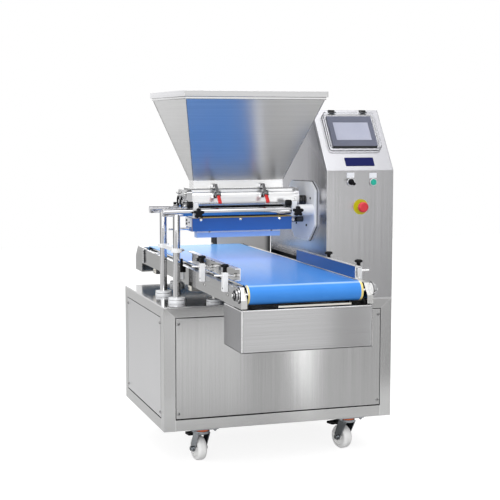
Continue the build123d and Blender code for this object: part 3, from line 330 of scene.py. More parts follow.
# moulded and machined plastics, paint and print: pebble of the mould, edges in their own tone, rubbed and, on most,
# lightened as a painted highlight
plastics = {
    "whitePom": {"tone": (0.84, 0.85, 0.87), "edgeTone": (0.93, 0.93, 0.94), "rough": (0.30, 0.42), "pebble": 500,
                 "edge": 0.0012},
    "blackNylon": {"tone": (0.009, 0.009, 0.010), "edgeTone": (0.06, 0.06, 0.065), "rough": (0.42, 0.58),
                   "pebble": 1500, "edge": 0.001, "ior": 1.2},
    "blueBlock": {"tone": (0.012, 0.115, 0.44), "edgeTone": (0.16, 0.30, 0.62), "rough": (0.36, 0.48),
                  "pebble": 420, "edge": 0.0009},
    "blueRail": {"tone": (0.29, 0.48, 0.88), "edgeTone": (0.55, 0.66, 0.90), "rough": (0.22, 0.34), "pebble": 420,
                 "edge": 0.0012},
    "bezelGrey": {"tone": (0.090, 0.098, 0.150), "edgeTone": (0.16, 0.17, 0.23), "rough": (0.46, 0.58),
                  "pebble": 1600, "edge": 0.0012},
    "navyPlate": {"tone": (0.006, 0.009, 0.085), "edgeTone": (0.06, 0.08, 0.22), "rough": (0.42, 0.52),
                  "pebble": 300, "edge": 0.0006, "ior": 1.2},
    "yellowPlate": {"tone": (0.52, 0.47, 0.006), "edgeTone": (0.86, 0.80, 0.25), "rough": (0.30, 0.42),
                    "pebble": 700, "edge": 0.0006},
    "whitePlate": {"tone": (0.82, 0.83, 0.87), "edgeTone": (0.92, 0.92, 0.93), "rough": (0.28, 0.40),
                   "pebble": 700, "edge": 0.0006},
    "greenCap": {"tone": (0.008, 0.40, 0.29), "edgeTone": (0.20, 0.60, 0.45), "rough": (0.22, 0.32),
                 "pebble": 900, "edge": 0.0008},
    "redCap": {"tone": (0.62, 0.030, 0.045), "edgeTone": (0.80, 0.22, 0.22), "rough": (0.28, 0.40), "pebble": 900,
               "edge": 0.0012},
    "redVinyl": {"tone": (0.66, 0.012, 0.012), "edgeTone": (0.82, 0.16, 0.12), "rough": (0.25, 0.38),
                 "pebble": 700, "edge": 0.0012},
    "orangeRing": {"tone": (0.72, 0.12, 0.018), "edgeTone": (0.85, 0.32, 0.14), "rough": (0.34, 0.48),
                   "pebble": 800, "edge": 0.0008},
    "wheelNylon": {"tone": (0.92, 0.92, 0.91), "edgeTone": (0.70, 0.69, 0.67), "rough": (0.32, 0.50),
                   "pebble": 260, "edge": 0.0016},
    "motorGrey": {"tone": (0.16, 0.17, 0.19), "edgeTone": (0.34, 0.35, 0.37), "rough": (0.40, 0.56),
                  "pebble": 800, "edge": 0.001},
    "boxGrey": {"tone": (0.56, 0.55, 0.54), "edgeTone": (0.66, 0.66, 0.66), "rough": (0.36, 0.50), "pebble": 1100,
                "edge": 0.0012},
    "boxFront": {"tone": (0.60, 0.59, 0.58), "edgeTone": (0.66, 0.66, 0.66), "rough": (0.36, 0.50),
                 "pebble": 1100, "edge": 0.0012, "dim": ((690, 720), (0.02, 0.02, 0.022, 1))},
    "tanGasket": {"tone": (0.60, 0.40, 0.10), "edgeTone": (0.72, 0.54, 0.24), "rough": (0.40, 0.55),
                  "pebble": 600, "edge": 0.0004},
    # painted shade: near black, for the gaps round the panels and the space under the pump
    "gapShade": {"tone": (0.010, 0.010, 0.011), "edgeTone": (0.016, 0.016, 0.017), "rough": (0.7, 0.9),
                  "pebble": 900, "edge": 0.0003, "ior": 1.2},
    "creamCap": {"tone": (0.72, 0.69, 0.62), "edgeTone": (0.84, 0.82, 0.78), "rough": (0.36, 0.50), "pebble": 700,
                 "edge": 0.001},
    # near black, both for black parts and as painted shade in recesses, holes, gaps and undersides
    "blackAndShade": {"tone": (0.008, 0.009, 0.012), "edgeTone": (0.04, 0.04, 0.05), "rough": (0.40, 0.55),
                  "pebble": 1400, "edge": 0.0008, "ior": 1.2},
}


def mouldedPlastic(name, look):
    material, tree, shader = newFinish(name, IOR=look.get("ior", 1.5))
    place = ownPlace(tree)
    pebble = noise(tree, place, look["pebble"], 2.0)
    cloud = noise(tree, place, 14.0, 3.0)
    rounded, edge = roundedEdges(tree, look["edge"])
    mottle = evenly(tree, pebble, 0.4, cloud)
    colour = blend(tree, mottle, shade(look["tone"], 0.88), shade(look["tone"], 1.10))
    if "dim" in look:  # dark towards one end
        ends, dark = look["dim"]
        far = ramp(tree, split(tree, place)[0], [at(end, 0, 0).x for end in ends], (0.0, 1.0), smooth=True)
        colour = blend(tree, far, colour, dark)
    # rubbed wear along the edges and, where the edge tone is lighter, a painted highlight
    colour = touch(tree, colour, edge, 0.55, look["edgeTone"] + (1,))
    wire(tree, shader, Base_Color=colour, Roughness=spread(tree, mottle, *look["rough"]),
         Normal=bumped(tree, pebble, 0.2, 0.00008, Normal=rounded))
    return material


finish.update({name: mouldedPlastic(name, look) for name, look in plastics.items()})

# belt: blue coated fabric, rubbed track down the middle, yellow roller ends at the nose
beltLook = {"blue": (0.048, 0.235, 0.69, 1), "pale": (0.066, 0.280, 0.77, 1), "yellow": (0.80, 0.66, 0.24, 1),
            "noseHighlight": (0.62, 0.78, 0.96, 1), "tail": (0.30, 0.62, 0.98, 1), "under": (0.006, 0.020, 0.060, 1),
            "bands": (145.5, 543), "fade": (250, 830), "weave": 1250, "rough": (0.19, 0.27)}


def beltBlue():
    material, tree, shader = newFinish("beltBlue", IOR=1.17)
    place = ownPlace(tree)
    x, y = split(tree, place)[:2]
    track = noise(tree, place, (14, 1.2, 14), 2.0)
    threads = {"Vector": place, "Scale": beltLook["weave"] / 6.28}
    warp = put(tree, "TexWave", threads, bands_direction="X").outputs["Fac"]
    weft = put(tree, "TexWave", threads, bands_direction="Y").outputs["Fac"]
    weave = calc(tree, "MULTIPLY", warp, weft)
    colour = blend(tree, track, beltLook["blue"], beltLook["pale"])
    tail = ramp(tree, y, [at(0, reach, 0).y for reach in beltLook["fade"]], (0.0, 0.5))
    colour = blend(tree, tail, colour, beltLook["tail"])  # paler towards the tail, a painted reflection of light grazing the far belt
    bandLeft, bandRight = [at(edge, 0, 0).x for edge in beltLook["bands"]]
    roller = at(0, nose["y"], 0).y
    ends = calc(tree, "MAXIMUM", calc(tree, "LESS_THAN", x, bandLeft), calc(tree, "GREATER_THAN", x, bandRight))
    ends = calc(tree, "MULTIPLY", ends, calc(tree, "LESS_THAN", y, roller))
    colour = blend(tree, ends, colour, beltLook["yellow"])
    back = split(tree, facing(tree))[2]
    under = calc(tree, "MULTIPLY", calc(tree, "LESS_THAN", back, -0.95), calc(tree, "GREATER_THAN", y, roller))
    colour = blend(tree, under, colour, beltLook["under"])  # painted shade on the return run underneath
    onto = ramp(tree, back, (0.82, 0.94), (0.0, 0.5))
    off = ramp(tree, back, (0.95, 0.995), (1.0, 0.0))
    noseHighlight = calc(tree, "MULTIPLY", calc(tree, "MULTIPLY", onto, off), calc(tree, "LESS_THAN", y, roller))
    colour = blend(tree, noseHighlight, colour, beltLook["noseHighlight"])  # painted highlight along the top of the nose's bend
    rough = spread(tree, evenly(tree, track, 0.6, weave), *beltLook["rough"])
    wire(tree, shader, Base_Color=colour, Roughness=rough, Normal=bumped(tree, weave, 0.12, 0.00005))
    return material


finish["beltBlue"] = beltBlue()

# screen and its clear lid
glassLook = {"deep": (0.33, 0.35, 0.45, 1), "pale": (0.45, 0.46, 0.56, 1), "rough": (0.10, 0.16)}
lidLook = {"clearLid": {"alpha": (0.01, 0.22), "tint": (0.80, 0.84, 0.88, 1)},
           # the lid's walls, darker and less clear: painted shade
           "lidWall": {"alpha": (0.06, 0.30), "tint": (0.50, 0.52, 0.56, 1)}}


def screenGlass():
    material, tree, shader = newFinish("screenGlass", IOR=1.5)
    place = ownPlace(tree)
    cloud = noise(tree, place, (9, 9, 9), 1.0)
    dots = noise(tree, place, 2600.0, 1.0)
    colour = blend(tree, cloud, glassLook["deep"], glassLook["pale"])
    wire(tree, shader, Base_Color=colour, Roughness=spread(tree, dots, *glassLook["rough"]),
         Normal=bumped(tree, dots, 0.05, 0.00002))
    return material


def clearSheet(name, look):
    material, tree, shader = newFinish(name, IOR=1.25)
    place = ownPlace(tree)
    scuff = noise(tree, place, (220, 30, 30), 3.0)
    rounded, edge = roundedEdges(tree, 0.0024)
    grazing = calc(tree, "MULTIPLY", put(tree, "LayerWeight", {"Blend": 0.12}).outputs["Facing"], 0.4)
    # painted shade: the lid's edges darkened
    colour = blend(tree, edge, look["tint"], (0.16, 0.17, 0.19, 1))
    wire(tree, shader, Base_Color=colour, Roughness=spread(tree, scuff, 0.04, 0.12),
         Alpha=spread(tree, calc(tree, "MAXIMUM", grazing, edge), *look["alpha"]), Normal=rounded)
    return material


finish["screenGlass"] = screenGlass()
finish.update({name: clearSheet(name, look) for name, look in lidLook.items()})
print("finishes made:", len(finish))


# which finish each piece of the frame takes; an extra row is a finish with a test on a face's middle and normal,
# whose numbers are the heights and reaches, in mm, that part one piece of a node from the next
def paint(name, base, *extras):
    mesh = nodes[name].data
    mesh.materials.clear()
    for key in [base] + [extra[0] for extra in extras]:
        mesh.materials.append(finish[key])
    for face in mesh.polygons:
        spot = (face.center - cabCorner) * 1000
        hits = (i for i, extra in enumerate(extras, 1) if extra[1](spot, face.normal))
        face.material_index = next(hits, 0)  # the first row that fits


def above(z):
    return lambda spot, way: spot.z > z


def below(z):
    return lambda spot, way: spot.z < z


def sideWall(spot, way):
    return abs(way.x) > 0.7


def inGap(spot, way):  # the steps behind the gaps round the panels, which take painted shade
    inward = min(spot.x, cabinet["wide"] - spot.x, spot.y, cabinet["deep"] - spot.y)
    return 0.2 < inward < 6.5 and 5 < spot.z < 468


def thinEdge(spot, way):  # a panel's cut edges, which take painted shade
    onEnd = min(spot.y, cabinet["deep"] - spot.y) < 3.1 and 40 < spot.x < 886
    return abs(way.z) > 0.7 or abs(way.x if onEnd else way.y) > 0.7


def inRecess(spot, way):  # the column's hollow beside the belt, which takes painted shade
    return spot.z < 613.5 and 647 < spot.x < 690 and (way.x < -0.7 and spot.x > 660 or way.z < -0.7)


def casterNear(spot):
    return min(casters, key=lambda axis: (spot.x - axis[0]) ** 2 + (spot.y - axis[1]) ** 2)


def ringOut(spot):  # distance from the nearest swivel axis
    x, y = casterNear(spot)
    return ((spot.x - x) ** 2 + (spot.y - y) ** 2) ** 0.5


def armInside(spot, way):  # the side of a fork's arm that faces its wheel, which takes painted shade
    x, y = casterNear(spot)
    faceIn = abs(way.x) > 0.8 and (spot.x - x + 0.2 * (spot.y - y)) * way.x < 0
    return spot.z < -26.1 and ringOut(spot) > 6.5 and faceIn


def fromRotor(spot, axes=rotors["y"]):  # distance from the nearer rotor's axis
    return min(((spot.y - y) ** 2 + (spot.z - rotors["z"]) ** 2) ** 0.5 for y in axes)


def capHole(spot, way):  # the round hollows in the end cover, which take painted shadow
    return spot.x < 135.3 and 8.2 < fromRotor(spot) < 22 and (way.x < -0.7 or fromRotor(spot) < 17.4)


def capHub(spot, way):
    return spot.x < 135.3 and fromRotor(spot) < 8.3


def ribTop(spot, way):  # the coupling's outer ribs, round the driven rotor's axis
    return fromRotor(spot, rotors["y"][:1]) > 17.4 and abs(way.x) < 0.5


def onCollar(spot, way):  # the outer faces of the strip under the hopper's rim, which take a painted highlight
    proud = max(abs(spot.x - hopper["x"]) - 274, abs(spot.y - hopper["y"]) - 256.5)
    return 1243.9 < spot.z < 1253.1 and proud > 1.5


def farCap(spot, way):  # the strip along the far rail, between nose and tail
    return spot.z > 611.3 and spot.x > 560 and -504 < spot.y < 790


def nearTop(spot, way):
    return way.z > 0.7 and spot.z > 607 and spot.x < 135


lever = {"pin": (0, 154, 890.5), "slant": 42, "grip": 19.2}
leverWay = Vector((0, -sin(radians(lever["slant"])), -cos(radians(lever["slant"]))))  # down from its pin
slopeOut = Vector((0, -slope["rise"], slope["run"])) / slope["long"]


def onGrip(spot, way):
    return (spot - Vector(lever["pin"])).dot(leverWay) > lever["grip"]


# painted shade on the steps behind the panel gaps
paint("cabinet_frame", "steelFrame", ("gapShade", inGap))
paint("cabinet_top", "steelMirror")
# the side panels take a lighter, lit copy of the steel; the cut edges take painted shade
paint("service_panels", "steelAcross", ("gapShade", thinEdge), ("steelFlank", sideWall))
paint("panel_screws", "steelScrew")
# painted shade in the column's recess beside the belt, and a darker, shaded copy of the steel on the slope
paint("column_shell", "steelUp", ("blackAndShade", inRecess),
      ("steelSlope", lambda spot, way: way.z > 0.3 and way.y < -0.3),
      ("steelPanel", lambda spot, way: way.x < -0.7 and spot.x < 649))
# darker towards the front, painted shade
paint("column_side_cover", "steelPanel")
# painted shade on the housing's underside
paint("screen_housing", "bezelGrey", ("blackAndShade", lambda spot, way: way.z < -0.5))
paint("screen_glass", "screenGlass")
paint("screen_cover", "clearLid", ("lidWall", lambda spot, way: abs(way.dot(slopeOut)) < 0.5))
paint("panel_hardware", "steelPolished", ("blackNylon", lambda spot, way: spot.y > 600),  # the gland at the back
      ("yellowPlate", lambda spot, way: 810 < spot.z < 860), ("blackNylon", above(1100)),
      ("darkSteelAndShade", lambda spot, way: abs(way.y) < 0.3))
paint("label_plates", "navyPlate", ("yellowPlate", below(880)), ("whitePlate", below(970)))
paint("drive_plate", "whitePom")
paint("pump_motor", "motorGrey")
paint("head_supports", "steelPolished", ("steelBar", above(800.9)))
paint("post_fittings", "whitePom",
      ("darkSteelAndShade", lambda spot, way: 481.1 < spot.z < 482.9),  # painted shade between a foot's discs
      # painted shade in the tie plate's screw hole
      ("darkSteelAndShade", lambda spot, way: 104.5 < spot.x < 117 and 660 < spot.z < 682))
# painted highlight along the near rail's top
paint("conveyor_frame", "steelRail", ("creamCap", farCap), ("steelHighlight", nearTop),
      ("steelAlong", lambda spot, way: abs(way.x) < 0.7))
paint("belt", "beltBlue")
paint("drum_motor", "steelSatin")
paint("roller_bearings", "steelCover",
      ("darkSteelAndShade", lambda spot, way: abs(way.x) > 0.7 and (spot.x < 103 or spot.x > 605)))
# the sides take a darker, shaded copy of the box's steel
paint("drip_box", "steelBox", ("steelHighlight", lambda spot, way: min(abs(way.x), abs(way.y)) > 0.25),  # its corners, with a painted highlight
      ("steelSide", sideWall))
paint("inverter_box", "boxFront", ("blackAndShade", lambda spot, way: way.x < -0.3))
paint("guide_blocks", "whitePom")
paint("tray_sensor", "blackNylon", ("whitePom", below(583.9)))
paint("caster_plates", "zincPlate",
      ("orangeRing", lambda spot, way: -16.1 < spot.z < -6.9 and ringOut(spot) > 19.03))
# painted shade on the flange under the neck; the neck takes the pump's lit copy of steel; the rim a darker, shaded
# copy on its left faces and a lighter one elsewhere; the collar's outer faces a painted highlight
paint("hopper", "steelHopper", ("darkSteelAndShade", lambda spot, way: spot.z < 903.2 and way.z < 0.5),
      ("steelPump", below(932.9)), ("steelLip", lambda spot, way: spot.z > 1252.9 and way.x < -0.7),
      ("steelRim", above(1252.9)), ("steelHighlight", onCollar))
# the pump takes a lighter, lit copy of steel, with painted shade on the pedestal under it and on its underside
paint("pump_body", "steelPump", ("gapShade", lambda spot, way: spot.z < 822 and abs(way.z) < 0.5),
      ("darkSteelAndShade", lambda spot, way: way.z < -0.55))
# painted shadow in the cover's round hollows, painted highlight on their hubs
paint("end_cover", "steelCover", ("blackAndShade", capHole), ("steelHighlight", capHub))
# painted shade on the manifold's top
paint("manifold", "blueBlock", ("blackAndShade", lambda spot, way: way.z > 0.7))
paint("nozzle_plate", "blueRail", ("whitePom", lambda spot, way: spot.y < 166.5 and spot.z > 733 or way.z > 0.7))
paint("head_hardware", "steelSatin", ("darkSteelAndShade", below(742)), ("steelPolished", above(895)),
      ("darkSteelAndShade", above(860)),  # bases and catches of the clamps
      ("steelPolished", lambda spot, way: spot.z < 756 or spot.y < 150.1 and spot.z < 795),
      ("blackAndShade", lambda spot, way: spot.x < 145.9 and spot.z < 800),
      ("whitePom", lambda spot, way: spot.x < 152.1 and spot.z < 800))
paint("slide_blocks", "whitePom", ("blackNylon", lambda spot, way: spot.x < 148.9 or 520 < spot.x < 548.9))
for name in ("front_rotor", "rear_rotor", "nose_roller", "drive_roller"):
    paint(name, "steelPolished")
paint("valve_rod", "steelPolished", ("couplingSteel", lambda spot, way: spot.x > 600))
paint("drive_coupling", "blackAndShade", ("couplingSteel", ribTop))
# the right guide's steel is a shaded copy with a painted reflection of the belt; tops and front ends take a painted
# highlight
for side, sheet in (("left", "steelGuide"), ("right", "steelShade")):
    paint(side + "_lever", "darkSteelAndShade", ("redVinyl", onGrip))
    paint(side + "_hook", "darkSteelAndShade")
    paint(side + "_star_knob", "blackNylon")
    paint(side + "_guide", sheet, ("steelRail", lambda spot, way: way.x < -0.7 and 140 < spot.x < 150),  # left web
          ("steelHighlight", lambda spot, way: way.z > 0.7 or way.y < -0.7),
          ("steelScrew", lambda spot, way: abs(spot.z - guides["rod"]) < 4 and (spot.x < 145.9 or spot.x > 547.1)))
    for row in ("front", "rear"):
        paint(side + "_" + row + "_guide_knob", "blackNylon")
        paint(row + "_" + side + "_caster_wheel", "wheelNylon")
        # painted shade on the fork arms' inner sides
        paint(row + "_" + side + "_caster_fork", "zincPlate",
              ("blackNylon", lambda spot, way: -47.5 < spot.z < -37.5 and ringOut(spot) > 40),  # the pedal
              ("blackAndShade", armInside))
paint("selector_knob", "blackNylon")
paint("start_button", "greenCap")
paint("estop_button", "redCap")
print("frame painted")


# small fittings: each is drawn in millimetres along +Z, then stood on its seat
def closed(form, dye=0):  # dye is the finish's place in the piece's list
    bmesh.ops.remove_doubles(form, verts=form.verts, dist=0.001)
    bmesh.ops.recalc_face_normals(form, faces=form.faces)
    for face in form.faces:
        face.material_index = dye
    return form


def lathed(profile, steps=24, dye=0):  # profile is (radius, height) pairs, from the axis round to the axis
    form = bmesh.new()
    spots = [form.verts.new((r, 0, z)) for r, z in profile]
    lines = [form.edges.new(pair) for pair in zip(spots, spots[1:])]
    bmesh.ops.spin(form, geom=spots + lines, axis=(0, 0, 1), cent=(0, 0, 0), angle=2 * pi, steps=steps,
                   use_merge=True)
    return closed(form, dye)


def slab(size, soft, dye=0):  # a block with rounded edges, standing on z = 0
    form = bmesh.new()
    bmesh.ops.create_cube(form, size=1)
    bmesh.ops.scale(form, vec=size, verts=form.verts)
    bmesh.ops.translate(form, vec=(0, 0, size[2] / 2), verts=form.verts)
    bmesh.ops.bevel(form, geom=form.edges[:], offset=soft, affect="EDGES", segments=3, profile=0.5, material=-1)
    return closed(form, dye)


def thicken(form, way):  # a sheet's faces drawn out along one way
    raised = bmesh.ops.extrude_face_region(form, geom=form.faces[:])["geom"]
    raised = [part for part in raised if isinstance(part, bmesh.types.BMVert)]
    bmesh.ops.translate(form, vec=way, verts=raised)


def hexTurn(spot):  # angle from the middle of the nearest flat of six
    return (atan2(spot.co.y, spot.co.x) + pi / 6) % (pi / 3) - pi / 6


def hexNut(radius, high, bore, dye=0):  # chamfered both ends, its hole as deep as the nut
    form = lathed([(bore, 0), (radius * 0.9, 0), (radius, radius * 0.1), (radius, high - radius * 0.1),
                   (radius * 0.9, high), (bore, high), (bore, 0)], dye=dye)
    for spot in form.verts:
        out = spot.co.xy.length
        if out > bore + 0.05:
            spot.co.xy *= min(1, 0.88 * radius / cos(hexTurn(spot)) / out)
    return form


def socketScrew(radius, high, hole, washer=0, dye=0, dark=1):  # a domed head with a six-sided socket
    low = 0.8 if washer else 0
    rim = [(washer, low), (washer, 0)] if washer else []
    form = lathed([(0, low + high * 0.35), (hole, low + high * 0.35), (hole, low + high),
                   (radius * 0.62, low + high * 0.94), (radius * 0.9, low + high * 0.6),
                   (radius, low + high * 0.2), (radius, low)] + rim + [(0, 0)], dye=dye)
    for spot in form.verts:
        if 0.1 < spot.co.xy.length < hole + 0.05:
            spot.co.xy *= 0.9 / cos(hexTurn(spot))
    # painted shade in the socket
    for face in form.faces:
        if face.calc_center_median().xy.length < hole:
            face.material_index = dark
    return form


def seat(x, y, z, way=up, turn=0):  # from a fitting's own axis to its place on the machine
    stand = Vector(way).to_track_quat("Z", "Y").to_matrix().to_4x4()
    return Matrix.Translation(at(x, y, z)) @ stand @ Matrix.Rotation(radians(turn), 4, "Z") @ Matrix.Scale(0.001, 4)


def fitted(name, body, finishes, rows, stands=()):  # rows are (form, seat) pairs, all in one piece
    whole, part = bmesh.new(), bpy.data.meshes.new(name + "Part")
    for form, place in rows:
        form.to_mesh(part)
        part.transform(place)
        whole.from_mesh(part)
    bpy.data.meshes.remove(part)
    mesh = bpy.data.meshes.new(name)
    whole.to_mesh(mesh)
    whole.free()
    for key in finishes:
        mesh.materials.append(finish[key])
    for face in mesh.polygons:
        face.use_smooth = True
    mesh.set_sharp_from_angle(angle=radians(34))
    made = bpy.data.objects.new(name, mesh)
    scene.collection.objects.link(made)
    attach(made, body)
    if stands:
        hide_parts(*stands)


# screws of the panels and the drive plate
panelScrew = {"radius": 4.6, "high": 3.2, "hole": 2.2, "washer": 6.2}
panelHoles = {"in": 57, "heights": (66, 408), "columnBack": ((700, 874), (678, 1123))}
plateHoles = {"face": 638, "spots": ((149, 860), (347, 860), (191, 750), (305, 750))}
button, plateScrew = socketScrew(*panelScrew.values()), socketScrew(4.6, 3.2, 2.2, dye=1)
wide, deep, inset = cabinet["wide"], cabinet["deep"], panelHoles["in"]
rows = []
for z in panelHoles["heights"]:
    for x in (inset, wide - inset):
        rows += [(button, seat(x, 0, z, front)), (button, seat(x, deep, z, rear))]
    for y in (inset, deep - inset):
        rows += [(button, seat(0, y, z, left)), (button, seat(wide, y, z, right))]
rows += [(button, seat(x, deep, z, rear)) for x in panelHoles["columnBack"][0] for z in panelHoles["columnBack"][1]]
rows += [(plateScrew, seat(plateHoles["face"], y, z, left)) for y, z in plateHoles["spots"]]
fitted("panelScrews", "frame", ("weldBead", "blackAndShade"), rows, ("panel_screws",))

# hopper: a ground weld down each corner
weld = {"radius": 1.5, "ripple": 0.25, "pitch": 2.6, "footHalf": (184, 29.5), "topHalf": (272.2, 252)}


def corner(half, i, j, z):
    return Vector((hopper["x"] + half[0] * i, hopper["y"] + half[1] * j, z))


rows = []
for i, j in corners:
    foot, head = corner(weld["footHalf"], i, j, hopper["foot"]), corner(weld["topHalf"], i, j, hopper["top"])
    steps = int((head - foot).length / weld["pitch"])
    beads = [(weld["radius"] + weld["ripple"] * (n % 2), n * weld["pitch"]) for n in range(steps)]
    rows.append((lathed([(0, 0)] + beads + [(0, steps * weld["pitch"])], steps=8), seat(*foot, head - foot)))
fitted("hopperWelds", "head", ("weldBead",), rows)

# hopper: dark lines above and below its collar, painted shade
collarShade = {"high": 1.9, "proud": 0.5, "soft": 0.15, "half": (276, 258.5), "heights": (1243.4, 1251.3)}
halfX, halfY = collarShade["half"]
across = slab((2 * halfX, collarShade["proud"], collarShade["high"]), collarShade["soft"])
along = slab((collarShade["proud"], 2 * halfY, collarShade["high"]), collarShade["soft"])
rows = []
for z in collarShade["heights"]:
    rows += [(across, seat(hopper["x"], hopper["y"] + halfY * i, z)) for i in (-1, 1)]
    rows += [(along, seat(hopper["x"] + halfX * i, hopper["y"], z)) for i in (-1, 1)]
fitted("collarShadeLines", "head", ("darkSteelAndShade",), rows)

# manifold: the gasket's edge under its lid and down its left end
gasket = {"line": 4.6, "proud": 0.7, "soft": 0.2, "long": 408, "drop": 51, "thin": 1.4, "face": 149.7}
across = slab((gasket["long"], gasket["proud"], gasket["line"]), gasket["soft"])
upright = slab((gasket["thin"], gasket["proud"], gasket["drop"]), gasket["soft"])
rows = [(across, seat(356, gasket["face"], 790.3)), (upright, seat(152.8, gasket["face"], 740.2))]
fitted("manifoldGasket", "head", ("tanGasket",), rows)

# end cover: acorn nuts on its studs
studs = {"face": 138, "y": (180, 288), "z": (838, 884)}
acorn = lathed([(0, 12), (2.4, 11.4), (4.2, 9.6), (5, 7), (5.1, 4.6), (0, 4.6)])
flat = hexNut(7.2, 4.8, 0.4)
rows = [(form, seat(studs["face"], y, z, left)) for y in studs["y"] for z in studs["z"] for form in (acorn, flat)]
fitted("coverNuts", "head", ("steelScrew",), rows)

# drive plate: a black rim behind it, painted shadow round the outline of the plate's own back
plateShadow = {"grow": 1.018, "thick": 0.0012, "middle": (648, 234, 808), "backFrom": 647.5}
middle = at(*plateShadow["middle"])
form = bmesh.new()
form.from_mesh(nodes["drive_plate"].data)
bmesh.ops.remove_doubles(form, verts=form.verts, dist=0.000001)
backFrom = at(plateShadow["backFrom"], 0, 0).x
back = [face for face in form.faces if face.normal.x > 0.9 and face.calc_center_median().x > backFrom]
bmesh.ops.delete(form, geom=[face for face in form.faces if face not in back], context="FACES")
bmesh.ops.translate(form, vec=-middle, verts=form.verts)
bmesh.ops.scale(form, vec=(1, plateShadow["grow"], plateShadow["grow"]), verts=form.verts)
bmesh.ops.dissolve_limit(form, angle_limit=radians(1), verts=form.verts, edges=form.edges)
thicken(form, (-plateShadow["thick"], 0, 0))
bmesh.ops.recalc_face_normals(form, faces=form.faces)
fitted("plateShadow", "frame", ("blackAndShade",), [(form, Matrix.Translation(middle))])

# pump: bolts round its drive flange
bolts = {"faces": (583, 600), "ears": (176, 292), "z": 860, "reach": (44, 30)}
bolt = socketScrew(3, 3, 1.6)
rows = [(bolt, seat(bolts["faces"][0], y, bolts["z"], left)) for y in bolts["ears"]]
for i, j in corners:
    y, z = hopper["y"] + bolts["reach"][0] * i, bolts["z"] + bolts["reach"][1] * j
    rows.append((bolt, seat(bolts["faces"][1], y, z, right)))
fitted("pumpBolts", "head", ("steelScrew", "blackAndShade"), rows)

# valve: a clevis and its pin on the rod's end
clevis = {"foot": (572, 234, 772), "root": (26, 20, 8), "cheek": (26, 6, 30), "apart": 7, "pin": 18, "hub": 30}
x, y, z = clevis["foot"]
hub = lathed([(0, 0), (10, 0), (10.8, 1.5), (10.8, 7), (10, 8), (0, 8)], dye=1)
pin = lathed([(0, 0), (4, 0), (4, 30), (3, 31), (0, 31)])
cheek = slab(clevis["cheek"], 1.5, dye=2)
rows = [(slab(clevis["root"], 2), seat(x, y, z, right))]
rows += [(cheek, seat(x, y, z + clevis["apart"] * i, right)) for i in (-1, 1)]
rows += [(hub, seat(x + clevis["hub"], y, z, right)), (pin, seat(x + clevis["pin"], y + 15.5, z, front)),
         (hexNut(7, 5, 3.9), seat(x + clevis["pin"], y - 11, z, front))]
fitted("valveClevis", "valve_rod", ("steelPolished", "blackAndShade", "darkSteelAndShade"), rows)

# conveyor nose: seals and lock rings of the bearings, with their screws
bearing = {"flange": 7, "hub": 15, "shaft": 20, "screwCircle": 22}  # steps out from the rail, circle of the screws
seal = lathed([(11.6, 0), (17.8, 0), (17.8, 0.9), (17, 1.2), (12.4, 1.2), (11.6, 0.9), (11.6, 0)], dye=1)
lip = lathed([(6.6, 0), (9.8, 0), (9.8, 0.8), (6.6, 0.8), (6.6, 0)], dye=1)
foot = lathed([(24.9, 0), (27.8, 0), (27.8, 1), (27.2, 1.5), (24.9, 1.5), (24.9, 0)], steps=48, dye=1)
step = lathed([(18.9, 0), (20.6, 0), (20.6, 0.6), (18.9, 0.6), (18.9, 0)], steps=40, dye=1)
tiny = socketScrew(2.4, 2.2, 1.3)
rings = ((foot, 0), (step, bearing["flange"]), (seal, bearing["hub"]), (lip, bearing["shaft"]))
rows = []
for face, way in rails:
    rows += [(ring, seat(face + out * way[0], nose["y"], nose["z"], way)) for ring, out in rings]
    for angle in (45, 135, 225, 315):
        y = nose["y"] + bearing["screwCircle"] * cos(radians(angle))
        z = nose["z"] + bearing["screwCircle"] * sin(radians(angle))
        rows.append((tiny, seat(face + bearing["flange"] * way[0], y, z, way)))
fitted("noseSeals", "frame", ("steelScrew", "blackAndShade"), rows)

# rails: button heads under the guide blocks, dark set screws in the blocks
railScrew = socketScrew(6, 3.4, 2.8)
setScrew = lathed([(0, 0.1), (1.6, 0.1), (2.4, 0.5), (3, 0.5), (3, 0), (0, 0)], dye=1)
blockHalf = 9
rows = []
for y in guides["rows"]:
    rows += [(railScrew, seat(face, y, 573, way)) for face, way in rails]
    rows += [(setScrew, seat(guides["knobs"]["left"] - blockHalf, y - 4, 597, left)),
             (setScrew, seat(guides["knobs"]["right"] + blockHalf, y - 4, 597, right))]
fitted("railScrews", "frame", ("steelScrew", "blackAndShade"), rows)

# legs: plastic caps and bolts on the ends of their cross bars
bar = {"y": (50, 605), "z": 535, "cap": (40, 18, 3)}
cap, capBolt = slab(bar["cap"], 1.2), hexNut(5.5, 4, 0.4, dye=1)
rows = []
for face, way in rails:
    rows += [(cap, seat(face, y, bar["z"], way)) for y in bar["y"]]
    rows += [(capBolt, seat(face + bar["cap"][2] * way[0], y, bar["z"], way)) for y in bar["y"]]
fitted("barCaps", "frame", ("creamCap", "steelScrew"), rows)

# tail: a knuckled strip down each plate
knuckle = {"y": 797, "foot": 551, "out": 4.5, "pitch": 10, "count": 6}
pin = lathed([(0, 0), (4.6, 0), (5.5, 0.9), (5.5, 6.3), (4.6, 7.2), (0, 7.2)], steps=20)
core = lathed([(0, 0), (3.4, 0), (3.4, 56), (0, 56)], steps=16, dye=1)
strip = slab((14, 58, 1.6), 0.4, dye=1)
rows = []
for face, way in rails:
    x = face + knuckle["out"] * way[0]
    rows += [(strip, seat(face, knuckle["y"], knuckle["foot"] + 28, way)),
             (core, seat(x, knuckle["y"], knuckle["foot"]))]
    lifts = [0.4 + knuckle["pitch"] * i for i in range(knuckle["count"])]
    rows += [(pin, seat(x, knuckle["y"], knuckle["foot"] + lift)) for lift in lifts]
fitted("tailKnuckles", "frame", ("steelPolished", "blackAndShade"), rows)

